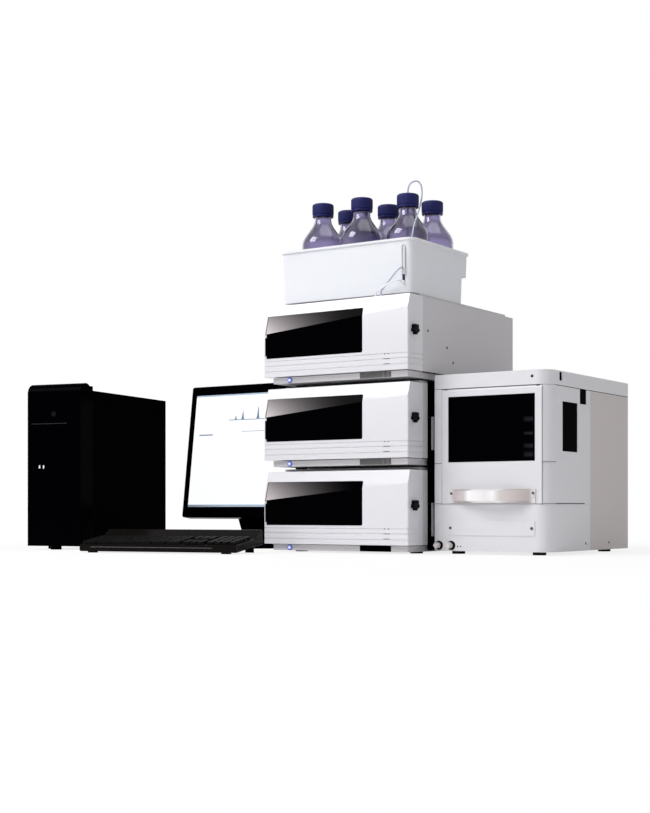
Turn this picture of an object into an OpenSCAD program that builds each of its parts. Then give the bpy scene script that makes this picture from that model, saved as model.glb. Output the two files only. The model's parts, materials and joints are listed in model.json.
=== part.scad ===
// Liquid chromatography bench set: a stack of three modules under a solvent tray,
// an autosampler beside it, and a computer, monitor and keyboard as its data station.
// Each unit is drawn in its own corner frame: x to the right, y to the back, z up.

/* [Stacked modules] */
// Width of one module
module_w = 403; // [390:1:420]
// Depth of one module
module_d = 529; // [500:1:560]
// Height of one module with its stacking pad
module_pitch = 200; // [195:1:215]
// Depth of the moulded front
front_d = 67; // [60:1:80]
// Height of the raised stacking pad
pad_h = 7.5; // [4:0.5:10]
// Height of the rubber feet
foot_h = 4.5; // [3:0.5:8]
// Height of the base pan
pan_h = 14; // [12:0.5:16]
// Shadow gap between the base pan and the moulded front
shadow_gap = 1.5; // [1:0.5:3]
// Sheet thickness of covers and pans
sheet = 1.5; // [1:0.5:2]
// Radius of the moulded front's upright edges
front_edge_r = 3; // [2:0.5:3]
// Wall of the moulded front's face
front_wall = 7; // [6:0.5:8]
// Wall of the moulded front's sides
side_wall = 3; // [3:0.5:4]
// Height of the sloped facet at the left edge
facet_left = 69; // [60:1:75]
// Height of the sloped facet at the right edge
facet_right = 30; // [25:1:40]
// Set-back of the facet for each unit of height
facet_slope = 0.27; // [0.2:0.01:0.3]

/* [Window door] */
// Right edge of the window door from the module's left side
door_right = 280; // [260:1:290]
// Bottom edge of the window door above the moulded front's bottom
door_low = 45; // [42:1:50]
// Height of the window door
door_h = 102.5; // [95:0.5:105]
// Thickness of the window door
door_t = 4; // [3.5:0.1:4.5]
// Gap all round the window door
door_gap = 0.6; // [0.4:0.1:1]
// Width of the ledge behind the door's edge
door_ledge = 8; // [6:1:12]
// Radius of the door's hinge pin
pin_r = 0.9; // [0.8:0.1:1.1]
// Radial running clearance of pins and shafts
run_fit = 0.05; // [0.02:0.01:0.09]

/* [Valve knob and power button] */
// Radius across the valve knob's lobes
knob_r = 12.5; // [11:0.5:14]
// Thickness of the valve knob
knob_t = 9; // [7:1:12]
// Set-back of the valve knob from the front face
knob_y = 24; // [20:1:40]
// Height of the valve knob above the moulded front's bottom
knob_z = 92; // [80:1:110]
// Radius of the valve shaft
shaft_r = 4; // [3:0.5:5]
// Radius of the power button
power_r = 5; // [4:0.5:5]
// Distance of the power button from the module's left side
power_x = 68; // [50:1:90]
// Travel of a power button
press = 2; // [1:0.5:2.5]

/* [Solvent tray] */
// Width of the tray at its rim
tray_w = 366; // [360:1:380]
// Depth of the tray at its rim
tray_d = 276; // [270:1:290]
// Height of the tray
tray_h = 125; // [110:1:140]
// Wall of the tray
tray_wall = 3; // [2.5:0.5:4]
// Draft of the tray's walls over their height
tray_draft = 3; // [2:0.5:4]
// Corner radius of the tray
tray_r = 16; // [12:1:20]
// Overhang of the tray's rim
rim_out = 4; // [3:0.5:6]
// Height above the tray's floor of the step in its rear wall
rear_step_z = 68; // [50:1:90]
// Depth of the step in the rear wall
rear_step = 22; // [15:1:22]
// Distance of the tray from the module's right side
tray_right = 10; // [8:1:15]
// Set-back of the tray from the module's front
tray_y = 34; // [28:1:45]
// Width of the line slot
slot_w = 8; // [7:0.5:10]
// Height of the line slot's lower end above the tray's floor
slot_z = 24; // [15:1:40]
// Distance of the line slot from the tray's right side
slot_right = 23.5; // [22:0.5:26]

/* [Bottles] */
// Outer radius of a bottle
bottle_r = 50.5; // [48:0.5:51]
// Height of a bottle with its cap
bottle_h = 243; // [235:1:250]
// Glass thickness
glass_t = 2.2; // [1.8:0.1:3]
// Radius of a bottle's neck
neck_r = 20; // [18:0.5:21]
// Height of the straight side of a bottle
bottle_side = 142; // [120:1:150]
// Radius of a cap
cap_r = 25.5; // [25:0.5:28]
// Height of a cap
cap_h = 32; // [30:1:38]

/* [Autosampler] */
// Gap between the stack and the autosampler
sampler_gap = 21.5; // [10:0.2:60]
// Width of the autosampler
sampler_w = 289; // [280:1:300]
// Depth of the autosampler
sampler_d = 451; // [430:1:480]
// Height of the autosampler
sampler_h = 410; // [395:1:420]
// Set-back of the autosampler from the stack's front
sampler_y = 80.5; // [60:0.5:100]
// Height of the autosampler's feet
sampler_foot = 7.5; // [6:0.5:10]
// Height of its top cover
lid_h = 32.5; // [28:0.5:36]
// Depth of its front housing
housing_d = 222; // [215:1:235]
// Radius of its right front upright edge
sampler_edge_r = 33; // [28:1:33]
// Wall of its housings
sampler_wall = 3; // [3:0.5:4]
// Height of the lower front above the bench
plinth_z = 114; // [105:1:118]
// Left edge of its door
flap_x = 21; // [18:1:23]
// Width of its door
flap_w = 249; // [245:1:250]
// Thickness of its door
flap_t = 12; // [10:1:14]
// Left edge of its door's window
pane_x = 37; // [35:1:40]
// Width of its door's window
pane_w = 217; // [205:1:218]
// Bottom of its door's window above the bench
pane_z = 209; // [200:1:215]
// Height of its door's window
pane_h = 149.5; // [130:0.5:150]
// Reach of the bow handle
bow_reach = 30; // [25:1:36]

/* [Computer] */
// Width of the tower
tower_w = 158.6; // [150:0.2:175]
// Depth of the tower
tower_d = 435.5; // [400:0.5:450]
// Height of the tower
tower_h = 423; // [390:1:430]
// Depth of the tower's bezel
bezel_d = 58; // [45:1:65]
// Height of the tower's feet
tower_foot = 9; // [7:1:12]
// Turn of the tower
tower_turn = 10.7; // [0:0.1:20]

/* [Monitor] */
// Width of the monitor
monitor_w = 420; // [400:1:440]
// Height of the monitor
monitor_h = 359; // [340:1:370]
// Height of the monitor's lower edge above the bench
monitor_z = 81; // [75:1:100]
// Tilt of the monitor
monitor_tilt = 7.6; // [5:0.2:15]
// Side bezel of the monitor
bezel_side = 16; // [12:1:20]
// Lower bezel of the monitor
bezel_low = 29; // [20:1:35]
// Upper bezel of the monitor
bezel_top = 24; // [16:1:28]

/* [Keyboard] */
// Length of the keyboard
keyboard_w = 410; // [400:1:440]
// Depth of the keyboard
keyboard_d = 150; // [145:1:165]
// Turn of the keyboard
keyboard_turn = 12; // [5:0.5:25]
// Distance between keys
key_pitch = 18.4; // [18:0.1:18.6]

/* [Hidden] */
$fn = 48;
eps = 0.1;
cut = 1000;

// Places of the units, from the stack's right front corner
tower_x = -877;
tower_y = -135;
monitor_x = -846;
monitor_y = 228;
keyboard_x = -329;
keyboard_y = -209;
// Places of the bottles, from the middle of the tray
bottle_spots = [[-112, -62], [2, -65], [117, -44], [-104, 40], [14, 37], [125, 59]];

// The origin is under the middle of the whole set
x_low = tower_x - tower_w * cos(tower_turn) - tower_d * sin(tower_turn);
x_high = sampler_gap + sampler_w;
y_low = keyboard_y - keyboard_w * sin(keyboard_turn);
y_high = sampler_y + sampler_d;
mid_x = (x_low + x_high) / 2;
mid_y = (y_low + y_high) / 2;

// Module levels
pan_top = foot_h + pan_h;
front_z = pan_top + shadow_gap;
cover_top = module_pitch - pad_h;
front_h = cover_top - front_z;
crease_z = cover_top - facet_left;
crease_turn = atan((facet_left - facet_right) / module_w);
facet_tilt = atan(facet_slope / cos(crease_turn));
pan_left = 20;
pan_right = 8;
pan_front = 12;
pan_rear = 8;
bulkhead_t = 2;
foot_r = 15;
feet_at = [for (x = [pan_left + 25, module_w - pan_right - 25], y = [95, module_d - 50]) [x, y]];

// Window door and its hinge
door_z = front_z + door_low;
door_corner_r = 4;
lamp_x = 57;
lamp_dx = 5;
lamp_z = 37;
hinge_r = door_t / 2;
hinge_gap = 0.4;
hinge_x = side_wall + hinge_gap + hinge_r;
hinge_y = hinge_r;
lug_h = 6;
knuckle_low = door_z + lug_h + 1;
knuckle_high = crease_z - lug_h - 2;

// Power button and its switch
power_z = foot_h + pan_h / 2;
stem_r = 2;
switch_y = pan_front + 12;

// Autosampler levels
sampler_seam = sampler_h - lid_h;
seam = 0.8;
flap_z = plinth_z + 1;
flap_h = sampler_seam - seam - flap_z;
flap_gap = 0.8;
flap_pin_r = 2.5;
flap_axis_y = flap_t / 2;
flap_axis_z = flap_z + flap_h - flap_axis_y;
ear_r = 4;
ear_w = 8;
ear_x = [flap_x + 6, flap_x + flap_w - 14];
lip_h = 12;
handle_x = [pane_x + 5, pane_x + pane_w + 2];
handle_h = 31;
win_y = 68;
win_d = 81;
win_z = 231.5;
win_h = 111.5;
notch_y = 163;
notch_d = 34;
notch_h = 35;
vent_y = 60;
vent_d = 10;
port_x = 247;
port_r = 3.5;
side_seam_z = 204.5;
panel_z = 43;
panel_h = 34;
fitting_x = [10.5, 42.5];
fitting_z = 20;
screw_z = 21;

// Sample room behind the door, with the rack, the needle and its rail
room_x = pane_x - 8;
room_w = pane_w + 16;
room_z = pane_z - 40;
rack_y = 60;
rail_x = sampler_wall + 0.3;
rail_y = 150;
rail_z = 330;
rail_w = 15;
rail_gap = 0.8;
arm_x = sampler_w / 2 - 20;
arm_w = 40;
needle_x = arm_x + arm_w / 2;
needle_y = 105;
shaft_low = 285;
shaft_high = 371;

// Bezel and case of the tower
case_drop = 17;

module at_row(p) {
    translate([p[0] - mid_x, p[1] - mid_y, p[2]]) children();
}

module at_module(level) {
    at_row([-module_w, 0, level * module_pitch]) children();
}

module at_sampler() {
    at_row([sampler_gap, sampler_y, 0]) children();
}

module at_tower() {
    at_row([tower_x, tower_y, 0]) rotate([0, 0, tower_turn]) translate([-tower_w, 0, 0]) children();
}

module at_keyboard() {
    at_row([keyboard_x, keyboard_y, 0]) rotate([0, 0, keyboard_turn]) translate([-keyboard_w, 0, 0]) children();
}

// A box given by its low and high corners
module block(a, b) {
    translate(a) cube(b - a);
}

// A plate with rounded upright edges, from its low and high corners
module rounded_block(a, b, r) {
    w = b[0] - a[0];
    d = b[1] - a[1];
    translate(a) linear_extrude(b[2] - a[2]) union() {
        translate([r, 0]) square([w - 2 * r, d]);
        translate([0, r]) square([w, d - 2 * r]);
        for (x = [r, w - r], y = [r, d - r]) translate([x, y]) circle(r);
    }
}

// A cylinder along +y
module rod_y(p, r, l) {
    translate(p) rotate([-90, 0, 0]) cylinder(r = r, h = l);
}

// A cylinder along +x
module rod_x(p, r, l) {
    translate(p) rotate([0, 90, 0]) cylinder(r = r, h = l);
}

// ---- Stacked modules ----

// Everything in front of the sloped facet, moved back by depth
module facet_cut(depth) {
    shift = depth / cos(facet_tilt);
    translate([0, shift, crease_z]) rotate([0, -crease_turn, 0]) rotate([-facet_tilt, 0, 0])
        translate([-cut / 2, -cut, -cut / 2]) cube([2 * cut, cut, cut]);
}

// The moulded front's outer form, set in by depth on its face and by side on its flanks
module front_form(depth, side, low, high) {
    r = max(front_edge_r - side, 0.5);
    difference() {
        translate([0, 0, low]) linear_extrude(high - low) union() {
            translate([side, depth + r]) square([module_w - 2 * side, front_d - depth - r]);
            translate([side + r, depth]) square([module_w - 2 * side - 2 * r, 2 * r]);
            for (x = [side + r, module_w - side - r]) translate([x, depth + r]) circle(r);
        }
        facet_cut(depth);
    }
}

module front_grooves() {
    groove = 1.2;
    for (z = [12, 25.5, 37])
        difference() {
            block([-1, -1, front_z + z], [module_w + 1, front_d + 1, front_z + z + 1.6]);
            front_form(groove, groove, front_z, cover_top);
        }
}

// The door's outline with its right corners rounded, grown by gap, from front to back
module door_form(x0, gap, y0, y1) {
    r = door_corner_r;
    x1 = door_right + gap - r;
    low = door_z - gap;
    high = door_z + door_h + gap;
    block([x0, y0, low], [x1, y1, high]);
    block([x1 - 1, y0, low + r], [x1 + r, y1, high - r]);
    for (z = [low + r, high - r]) rod_y([x1, y0, z], r, y1 - y0);
}

// The space that the window door lies in
module door_recess() {
    difference() {
        door_form(side_wall, door_gap, -1, front_d);
        front_form(door_t + 0.3, 0, front_z, cover_top);
    }
}

module front(level) at_module(level) color("whitesmoke") {
    inner_low = front_z + side_wall;
    difference() {
        front_form(0, 0, front_z, cover_top);
        front_form(front_wall, side_wall, inner_low, cover_top - side_wall);
        block([side_wall, front_d - 1, inner_low], [module_w - side_wall, front_d + 1, cover_top - side_wall]);
        door_recess();
        block([hinge_x + door_ledge, -1, door_z + door_ledge],
              [door_right - door_ledge, front_wall + 40, door_z + door_h - door_ledge]);
        front_grooves();
        rod_x([module_w - side_wall - 1, knob_y, front_z + knob_z], shaft_r + run_fit, side_wall + 2);
        for (x = [-lamp_dx, lamp_dx]) rod_y([module_w - lamp_x + x, -1, front_z + lamp_z], 1.4, 3);
    }
    for (z = [door_z - door_gap, knuckle_high + 0.4]) {
        translate([hinge_x, hinge_y, z]) cylinder(r = hinge_r, h = lug_h);
        block([side_wall - eps, 0, z], [hinge_x, 2 * hinge_r + 0.3, z + lug_h]);
    }
    translate([hinge_x, hinge_y, door_z]) cylinder(r = pin_r, h = knuckle_high - door_z + 2);
    // Grommets for the lines from the tray
    if (level == 2) for (p = grommets) translate([module_w + p[0], p[1], cover_top - 1]) cylinder(r = 4.5, h = 4.3);
}

module window_door(level) at_module(level) color([0.05, 0.05, 0.06]) {
    lug_room = hinge_r + hinge_gap;
    difference() {
        intersection() {
            difference() {
                front_form(0, 0, front_z, cover_top);
                front_form(door_t, -1, front_z - 1, cover_top + 1);
            }
            door_form(hinge_x, 0, -1, front_d);
        }
        for (z = [door_z - 1, knuckle_high])
            block([hinge_x - 1, -1, z], [hinge_x + lug_room, 2 * door_t, z + lug_h + 1.8]);
        translate([hinge_x, hinge_y, door_z - 1]) cylinder(r = pin_r + run_fit, h = door_h);
    }
    difference() {
        translate([hinge_x, hinge_y, knuckle_low]) cylinder(r = hinge_r, h = knuckle_high - knuckle_low);
        translate([hinge_x, hinge_y, door_z - 1]) cylinder(r = pin_r + run_fit, h = door_h);
    }
}

module valve_knob(level) at_module(level) color([0.08, 0.08, 0.08]) {
    hub = 0.7 * knob_r;
    lobe = 0.34 * knob_r;
    translate([module_w + 0.5, knob_y, front_z + knob_z]) rotate([0, 90, 0]) {
        cylinder(r = hub, h = knob_t);
        for (i = [0:4]) rotate([0, 0, 72 * i]) translate([knob_r - lobe, 0, 0]) cylinder(r = lobe, h = knob_t);
    }
    rod_x([module_w - 20, knob_y, front_z + knob_z], shaft_r, 21);
}

module power_button(level) at_module(level) color([0.75, 0.8, 1]) {
    rod_y([power_x, pan_front - 2.5, power_z], power_r, 6);
    rod_y([power_x, pan_front + 3, power_z], stem_r, switch_y - pan_front);
}

module chassis(level) at_module(level) color([0.82, 0.81, 0.84]) {
    right = module_w - pan_right;
    rear = module_d - pan_rear;
    grip_x = module_w - 136;
    grip_end = module_w - 52;
    grip_rib = module_w - 65;
    difference() {
        block([pan_left, pan_front, foot_h], [right, rear, pan_top]);
        block([pan_left + 2, pan_front + 2, foot_h + 2], [right - 2, rear - 2, pan_top + 1]);
        rod_y([power_x, pan_front - 1, power_z], power_r + 0.3, 5);
        block([grip_x, pan_front - 1, foot_h + 1], [grip_rib, pan_front + 3, pan_top - 1]);
        block([grip_rib + 3, pan_front - 1, foot_h + 1], [grip_end, pan_front + 3, pan_top - 1]);
    }
    difference() {
        block([power_x - 6, switch_y, foot_h + 1], [power_x + 6, switch_y + 10, pan_top - 2]);
        rod_y([power_x, switch_y - 1, power_z], stem_r + run_fit, 9);
    }
    difference() {
        block([side_wall + 1, front_d + 0.5, pan_top - 1],
              [module_w - side_wall - 1, front_d + 0.5 + bulkhead_t, cover_top - sheet - 0.5]);
        for (x = [40, module_w - 60]) rod_y([x, front_d, cover_top - 30], 9, 5);
    }
    rear_panel();
}

// Rear panel with a fan grille and the mains inlet's recess
module rear_panel() {
    y = module_d - pan_rear - sheet;
    fan_x = 90;
    fan_z = front_z + 90;
    difference() {
        block([sheet + 0.5, y, pan_top - 1], [module_w - sheet - 0.5, y + sheet, cover_top - sheet - 0.5]);
        for (i = [-3:3]) block([fan_x - 35, y - 1, fan_z + 10 * i - 3], [fan_x + 35, y + sheet + 1, fan_z + 10 * i + 3]);
        block([module_w - 90, y - 1, front_z + 25], [module_w - 62, y + sheet + 1, front_z + 45]);
    }
    difference() {
        block([module_w - 93, y - 18, front_z + 22], [module_w - 59, y, front_z + 48]);
        block([module_w - 90, y - 16, front_z + 25], [module_w - 62, y + 1, front_z + 45]);
    }
}

module cover(level) at_module(level) color([0.7, 0.69, 0.71]) {
    pad_in = 12;
    y0 = front_d + 0.5;
    difference() {
        union() {
            block([0, y0, front_z], [module_w, module_d, cover_top]);
            block([pad_in, y0 + 5, cover_top - 1], [module_w - pad_in, module_d - 20, module_pitch]);
        }
        block([sheet, y0 - 1, front_z - 1], [module_w - sheet, module_d + 1, cover_top - sheet]);
        block([pad_in + sheet, y0 + 5 + sheet, cover_top - 3],
              [module_w - pad_in - sheet, module_d - 20 - sheet, module_pitch - sheet]);
        for (p = [[90, 95], [181, 64], [211, 31]])
            rod_x([module_w - sheet - 1, p[0], front_z + p[1]], 2, sheet + 2);
        for (i = [0:7]) block([-1, 330 + 16 * i, front_z + 40], [sheet + 1, 336 + 16 * i, front_z + 110]);
    }
    // Column clip rail on the flank
    if (level < 2) block([module_w, 105, front_z + 20], [module_w + 6, 116, front_z + 97]);
}

// Pump head with its check valves, standing on the bulkhead
module pump_head(x, z) {
    y = front_d + 0.5;
    rod_y([x, y - 30, z], 19, 30);
    block([x - 15, y - 42, z - 15], [x + 15, y - 29, z + 15]);
    for (s = [-1, 1]) translate([x, y - 22, z + s * 26 - 10]) cylinder(r = 6.5, h = 20);
}

module fluidics(level) at_module(level) color([0.62, 0.62, 0.65]) {
    y = front_d + 0.5;
    z = front_z + 88;
    head_x = [95, 165];
    if (level < 2) {
        for (x = head_x) pump_head(x, z);
        rod_x([head_x[0], y - 22, z + 30], 1.6, head_x[1] - head_x[0]);
        rod_y([225, y - 34, z], 14, 34);
    } else {
        block([70, y - 38, z - 28], [150, y, z + 28]);
        rod_y([110, y - 44, z], 12, 8);
        rod_y([205, y - 30, z - 8], 10, 30);
    }
}

module pump_drive(level) at_module(level) color([0.45, 0.46, 0.48]) {
    y = front_d + 0.5 + bulkhead_t;
    z = foot_h + 2;
    block([70, y, z], [190, y + 95, z + 130]);
    rod_y([130, y + 94, z + 80], 32, 80);
    block([module_w - 150, y + 190, z], [module_w - 40, y + 370, z + 55]);
}

module optics(level) at_module(level) color([0.45, 0.46, 0.48]) {
    y = front_d + 0.5 + bulkhead_t;
    z = foot_h + 2;
    block([60, y, z], [250, y + 210, z + 100]);
    translate([155, y + 130, z + 99]) cylinder(r = 34, h = 40);
    block([module_w - 130, y + 190, z], [module_w - 40, y + 370, z + 55]);
}

module rubber_feet() color([0.08, 0.08, 0.08]) {
    for (level = [0:2]) at_module(level) for (p = feet_at) translate([p[0], p[1], 0]) cylinder(r = foot_r, h = foot_h);
    at_sampler() for (x = [40, sampler_w - 45], y = [45, sampler_d - 40])
        translate([x, y, 0]) cylinder(r = foot_r, h = sampler_foot);
}

// ---- Solvent tray, bottles and lines ----

// A tapered tub form: base and mouth outlines joined
module tub(low, high, inset, rear) {
    r = tray_r - inset;
    hull() {
        rounded_block([inset + tray_draft, inset + tray_draft, low],
                      [tray_w - inset - tray_draft, tray_d - rear - inset - tray_draft, low + 0.1], r - 1);
        rounded_block([inset, inset, high - 0.1], [tray_w - inset, tray_d - rear - inset, high], r);
    }
}

module tray_form(inset, low, high) {
    side = inset + tray_draft / 2;
    step = rear_step_z + inset;
    r = tray_r - inset;
    tub(low, high, inset, rear_step);
    hull() {
        rounded_block([side, tray_d / 2, step], [tray_w - side, tray_d - side, step + 0.1], r);
        rounded_block([inset, tray_d / 2, high - 0.1], [tray_w - inset, tray_d - inset, high], r);
    }
}

module at_tray() {
    at_row([-tray_right - tray_w, tray_y, 3 * module_pitch]) children();
}

module solvent_tray() at_tray() color([0.93, 0.93, 0.95]) {
    slot_x = tray_w - slot_right;
    difference() {
        union() {
            tray_form(0, 0, tray_h);
            rounded_block([-rim_out, -rim_out, tray_h - 5], [tray_w + rim_out, tray_d + rim_out, tray_h],
                          tray_r + rim_out);
        }
        tray_form(tray_wall, tray_wall, tray_h + 1);
        block([slot_x - slot_w / 2, -20, slot_z], [slot_x + slot_w / 2, tray_wall + 8, tray_h - 16]);
        rod_y([slot_x, -20, slot_z], slot_w / 2, 40);
    }
    // Drain nipple at the slot's lower end
    rod_y([slot_x, -4, slot_z], slot_w / 2, tray_wall + 10);
}

function bottle_at(i) = [-tray_right - tray_w / 2 + bottle_spots[i][0], tray_y + tray_d / 2 + bottle_spots[i][1],
                         3 * module_pitch + tray_wall];

module at_bottle(i) {
    at_row(bottle_at(i)) children();
}

// Outline of a bottle's glass, from the axis out, set in by inset and ending at top
module bottle_outline(inset, top) {
    foot = 8;
    neck_z = bottle_h - cap_h - 4;
    polygon(concat(
        [[0, inset], [bottle_r - foot, inset]],
        [for (a = [-75:15:0]) [bottle_r - foot + (foot - inset) * cos(a), foot + (foot - inset) * sin(a)]],
        [for (t = [0:0.125:1]) let (s = (1 - cos(180 * t)) / 2)
            [bottle_r - inset - (bottle_r - neck_r) * s, bottle_side + (neck_z - bottle_side) * t]],
        [[neck_r - inset, top], [0, top]]));
}

module bottle(i) at_bottle(i) color([0.55, 0.55, 0.65, 0.6]) {
    mouth = bottle_h - 3.1;
    difference() {
        rotate_extrude() bottle_outline(0, mouth);
        rotate_extrude() bottle_outline(glass_t, mouth + 1);
    }
}

module cap(i) at_bottle(i) color([0.12, 0.13, 0.4]) {
    low = bottle_h - cap_h;
    tubed = i == 2;
    difference() {
        union() {
            rotate_extrude() polygon([[0, low], [cap_r, low], [cap_r, bottle_h - 3],
                [cap_r - 0.9, bottle_h - 0.9], [cap_r - 3, bottle_h], [0, bottle_h]]);
            for (a = [0:12:359]) rotate([0, 0, a]) translate([cap_r, 0, low + 7]) cylinder(r = 0.8, h = cap_h - 11, $fn = 16);
        }
        translate([0, 0, low - 1]) cylinder(r = neck_r + 0.4, h = cap_h - 2);
        if (tubed) translate([0, 0, low]) cylinder(r = line_r + 0.7, h = cap_h + 5);
    }
}

// A round line swept along its points, given in the stack's frame
line_r = 2;
line_sides = 8;

function unit(v) = v / norm(v);
function heading(pts, i) = unit(pts[min(i + 1, len(pts) - 1)] - pts[max(i - 1, 0)]);
function curve(p, t) = let (n = len(p) - 1, k = min(floor(t), n - 1), f = t - k,
    a = p[max(k - 1, 0)], b = p[k], c = p[k + 1], d = p[min(k + 2, n)])
    0.5 * ((2 * b) + (c - a) * f + (2 * a - 5 * b + 4 * c - d) * f * f + (3 * b - a - 3 * c + d) * f * f * f);
function side_of(d) = unit(cross(d, abs(d[1]) < 0.9 ? [0, 1, 0] : [1, 0, 0]));

module line(points, steps) {
    n = (len(points) - 1) * steps;
    pts = [for (i = [0:n]) curve(points, i / steps)];
    rings = [for (i = [0:n]) let (d = heading(pts, i), u = side_of(d), v = cross(d, u))
        for (k = [0:line_sides - 1]) let (a = 360 * k / line_sides) pts[i] + line_r * (cos(a) * u + sin(a) * v)];
    faces = concat(
        [[for (k = [0:line_sides - 1]) k]],
        [for (i = [0:n - 1], k = [0:line_sides - 1]) let (k2 = (k + 1) % line_sides)
            [i * line_sides + k, (i + 1) * line_sides + k, (i + 1) * line_sides + k2, i * line_sides + k2]],
        [[for (k = [line_sides - 1:-1:0]) n * line_sides + k]]);
    polyhedron(points = rings, faces = faces);
}

// Points given from the third bottle's axis at the tray's floor level, placed in the row
function placed(points) = [for (p = points) [bottle_at(2)[0] + p[0], bottle_at(2)[1] + p[1], 3 * module_pitch + p[2]]];
// Route of the solvent line: up from the bottle's floor, over in a loop, down into the tray and out of its slot
solvent_route = placed([[0, 0, 12], [0, 0, 100], [0, 0, 200], [0, 0, 250], [1, 1, 263], [7, 4, 274], [18, 12, 278],
    [26, 17, 268], [28, 18, 250], [29, 12, 228], [30, 0, 206], [36, -33, 164], [43, -54, 136], [41, -67, 110],
    [41, -81, 72], [42, -90, 58], [42, -102, 55], [36, -110, 48], [18, -110, 30], [-2, -106, 12],
    [-10, -104, 4], [-10, -104, -6]]);
// Route of the drain line: from the nipple in the tray's slot down to the module's top
drain_route = placed([[42, -97, 24], [42, -104, 24], [38, -111, 26], [24, -113, 24], [2, -112, 14], [-18, -108, 6],
    [-24, -104, 2], [-24, -104, -6]]);
// Points where the lines enter the module's top
grommets = placed([[-10, -104, 0], [-24, -104, 0]]);

module solvent_line() color([0.75, 0.8, 0.85]) at_row([0, 0, 0]) line(solvent_route, 4);
module drain_line() color([0.85, 0.85, 0.88]) at_row([0, 0, 0]) line(drain_route, 4);

// ---- Autosampler ----

// The autosampler's plan outline, set in by inset
module sampler_outline(inset, y0, y1) {
    r = sampler_edge_r - inset;
    l = 4;
    x1 = sampler_w - inset;
    intersection() {
        union() {
            translate([inset + l, inset]) square([x1 - r - inset - l, sampler_d]);
            translate([inset, inset + l]) square([x1 - inset, sampler_d]);
            translate([inset + l, inset + l]) circle(l);
            translate([x1 - r, inset + r]) circle(r);
        }
        union() {
            translate([inset, inset]) square([x1 - inset - r, sampler_d]);
            translate([inset, inset + r]) square([x1 - inset, sampler_d]);
            translate([x1 - r, inset + r]) circle(r);
        }
        translate([-1, y0]) square([sampler_w + 2, y1 - y0]);
    }
}

module sampler_slab(inset, low, high, y0, y1) {
    translate([0, 0, low]) linear_extrude(high - low) sampler_outline(inset, y0, y1);
}

// A shallow seam cut into the front and side between two heights
module sampler_seam_cut(low, high, x0, x1, y1) {
    difference() {
        block([x0, -1, low], [x1, y1, high]);
        sampler_slab(1.2, low - 1, high + 1, 0, housing_d);
    }
}

module sampler_housing() at_sampler() color([0.86, 0.85, 0.88]) {
    top = sampler_seam - seam;
    flap_end = flap_x + flap_w;
    difference() {
        sampler_slab(0, sampler_foot, top, 0, housing_d);
        sampler_slab(sampler_wall, sampler_foot + sampler_wall, room_z - 6, sampler_wall, housing_d + 1);
        sampler_slab(sampler_wall, room_z, top + 1, flap_t + 2, housing_d - sampler_wall);
        // Door opening and the recess that the door lies in
        block([flap_x - flap_gap, -1, flap_z - flap_gap], [flap_end + flap_gap, flap_t + 0.6, top + 1]);
        block([room_x, 0, room_z], [room_x + room_w, flap_t + 10, sampler_seam - lip_h]);
        // Side window and lifting notch
        block([sampler_w - 2, win_y, win_z], [sampler_w + 1, win_y + win_d, win_z + win_h]);
        block([sampler_w - 20, win_y + 10, win_z + 10], [sampler_w, win_y + win_d - 10, win_z + win_h - 10]);
        block([sampler_w - 1.6, notch_y, sampler_seam - notch_h], [sampler_w + 1, notch_y + notch_d, top + 1]);
        // Seams between the lower front, the upper part and the corner columns
        sampler_seam_cut(plinth_z - 2, plinth_z - 0.8, -1, sampler_w + 1, housing_d - 10);
        sampler_seam_cut(side_seam_z, side_seam_z + 1, flap_end, sampler_w + 1, sampler_edge_r);
        sampler_seam_cut(side_seam_z, side_seam_z + 1, -1, flap_x, 5);
        for (x = fitting_x) rod_y([x, -1, fitting_z], 3, 12);
        rod_x([sampler_w - 1, housing_d - 18, screw_z], 3, 2);
    }
    // Hinge ears for the door
    for (x = ear_x) difference() {
        union() {
            rod_x([x, flap_axis_y, flap_axis_z], ear_r, ear_w);
            block([x, flap_axis_y, flap_axis_z - ear_r], [x + ear_w, flap_t + 4, flap_axis_z + ear_r]);
        }
        rod_x([x - 1, flap_axis_y, flap_axis_z], flap_pin_r + run_fit, ear_w + 2);
    }
    // Rail clipped between the side walls, which the needle arm runs on
    block([rail_x, rail_y, rail_z], [sampler_w - rail_x, rail_y + rail_w, rail_z + rail_w]);
}

module sampler_rear_cover() at_sampler() color([0.7, 0.67, 0.66]) {
    y0 = housing_d + seam;
    top = sampler_seam - seam;
    difference() {
        sampler_slab(0, sampler_foot, top, y0, sampler_d);
        block([sampler_wall, y0 - 1, sampler_foot + sampler_wall],
              [sampler_w - sampler_wall, sampler_d - sampler_wall, top + 1]);
        for (i = [0:7]) block([60, sampler_d - 10, 60 + 12 * i], [150, sampler_d + 1, 66 + 12 * i]);
        block([180, sampler_d - 10, 60], [208, sampler_d + 1, 80]);
        rod_x([sampler_w - 1, sampler_d - 112, screw_z], 3, 2);
    }
}

module sampler_top_cover() at_sampler() color([0.88, 0.87, 0.9]) {
    difference() {
        sampler_slab(0, sampler_seam, sampler_h, 0, sampler_d);
        sampler_slab(sampler_wall, sampler_seam - 1, sampler_h - sampler_wall, sampler_wall, sampler_d - sampler_wall);
        rod_y([port_x, -1, sampler_h - 14], port_r, sampler_wall + 2);
        block([sampler_w - 1.5, vent_y, sampler_h - 20], [sampler_w + 1, vent_y + vent_d, sampler_h - 5]);
        rod_x([sampler_w - 1.5, vent_y + 26, sampler_h - 11], 2, 3);
    }
}

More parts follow.
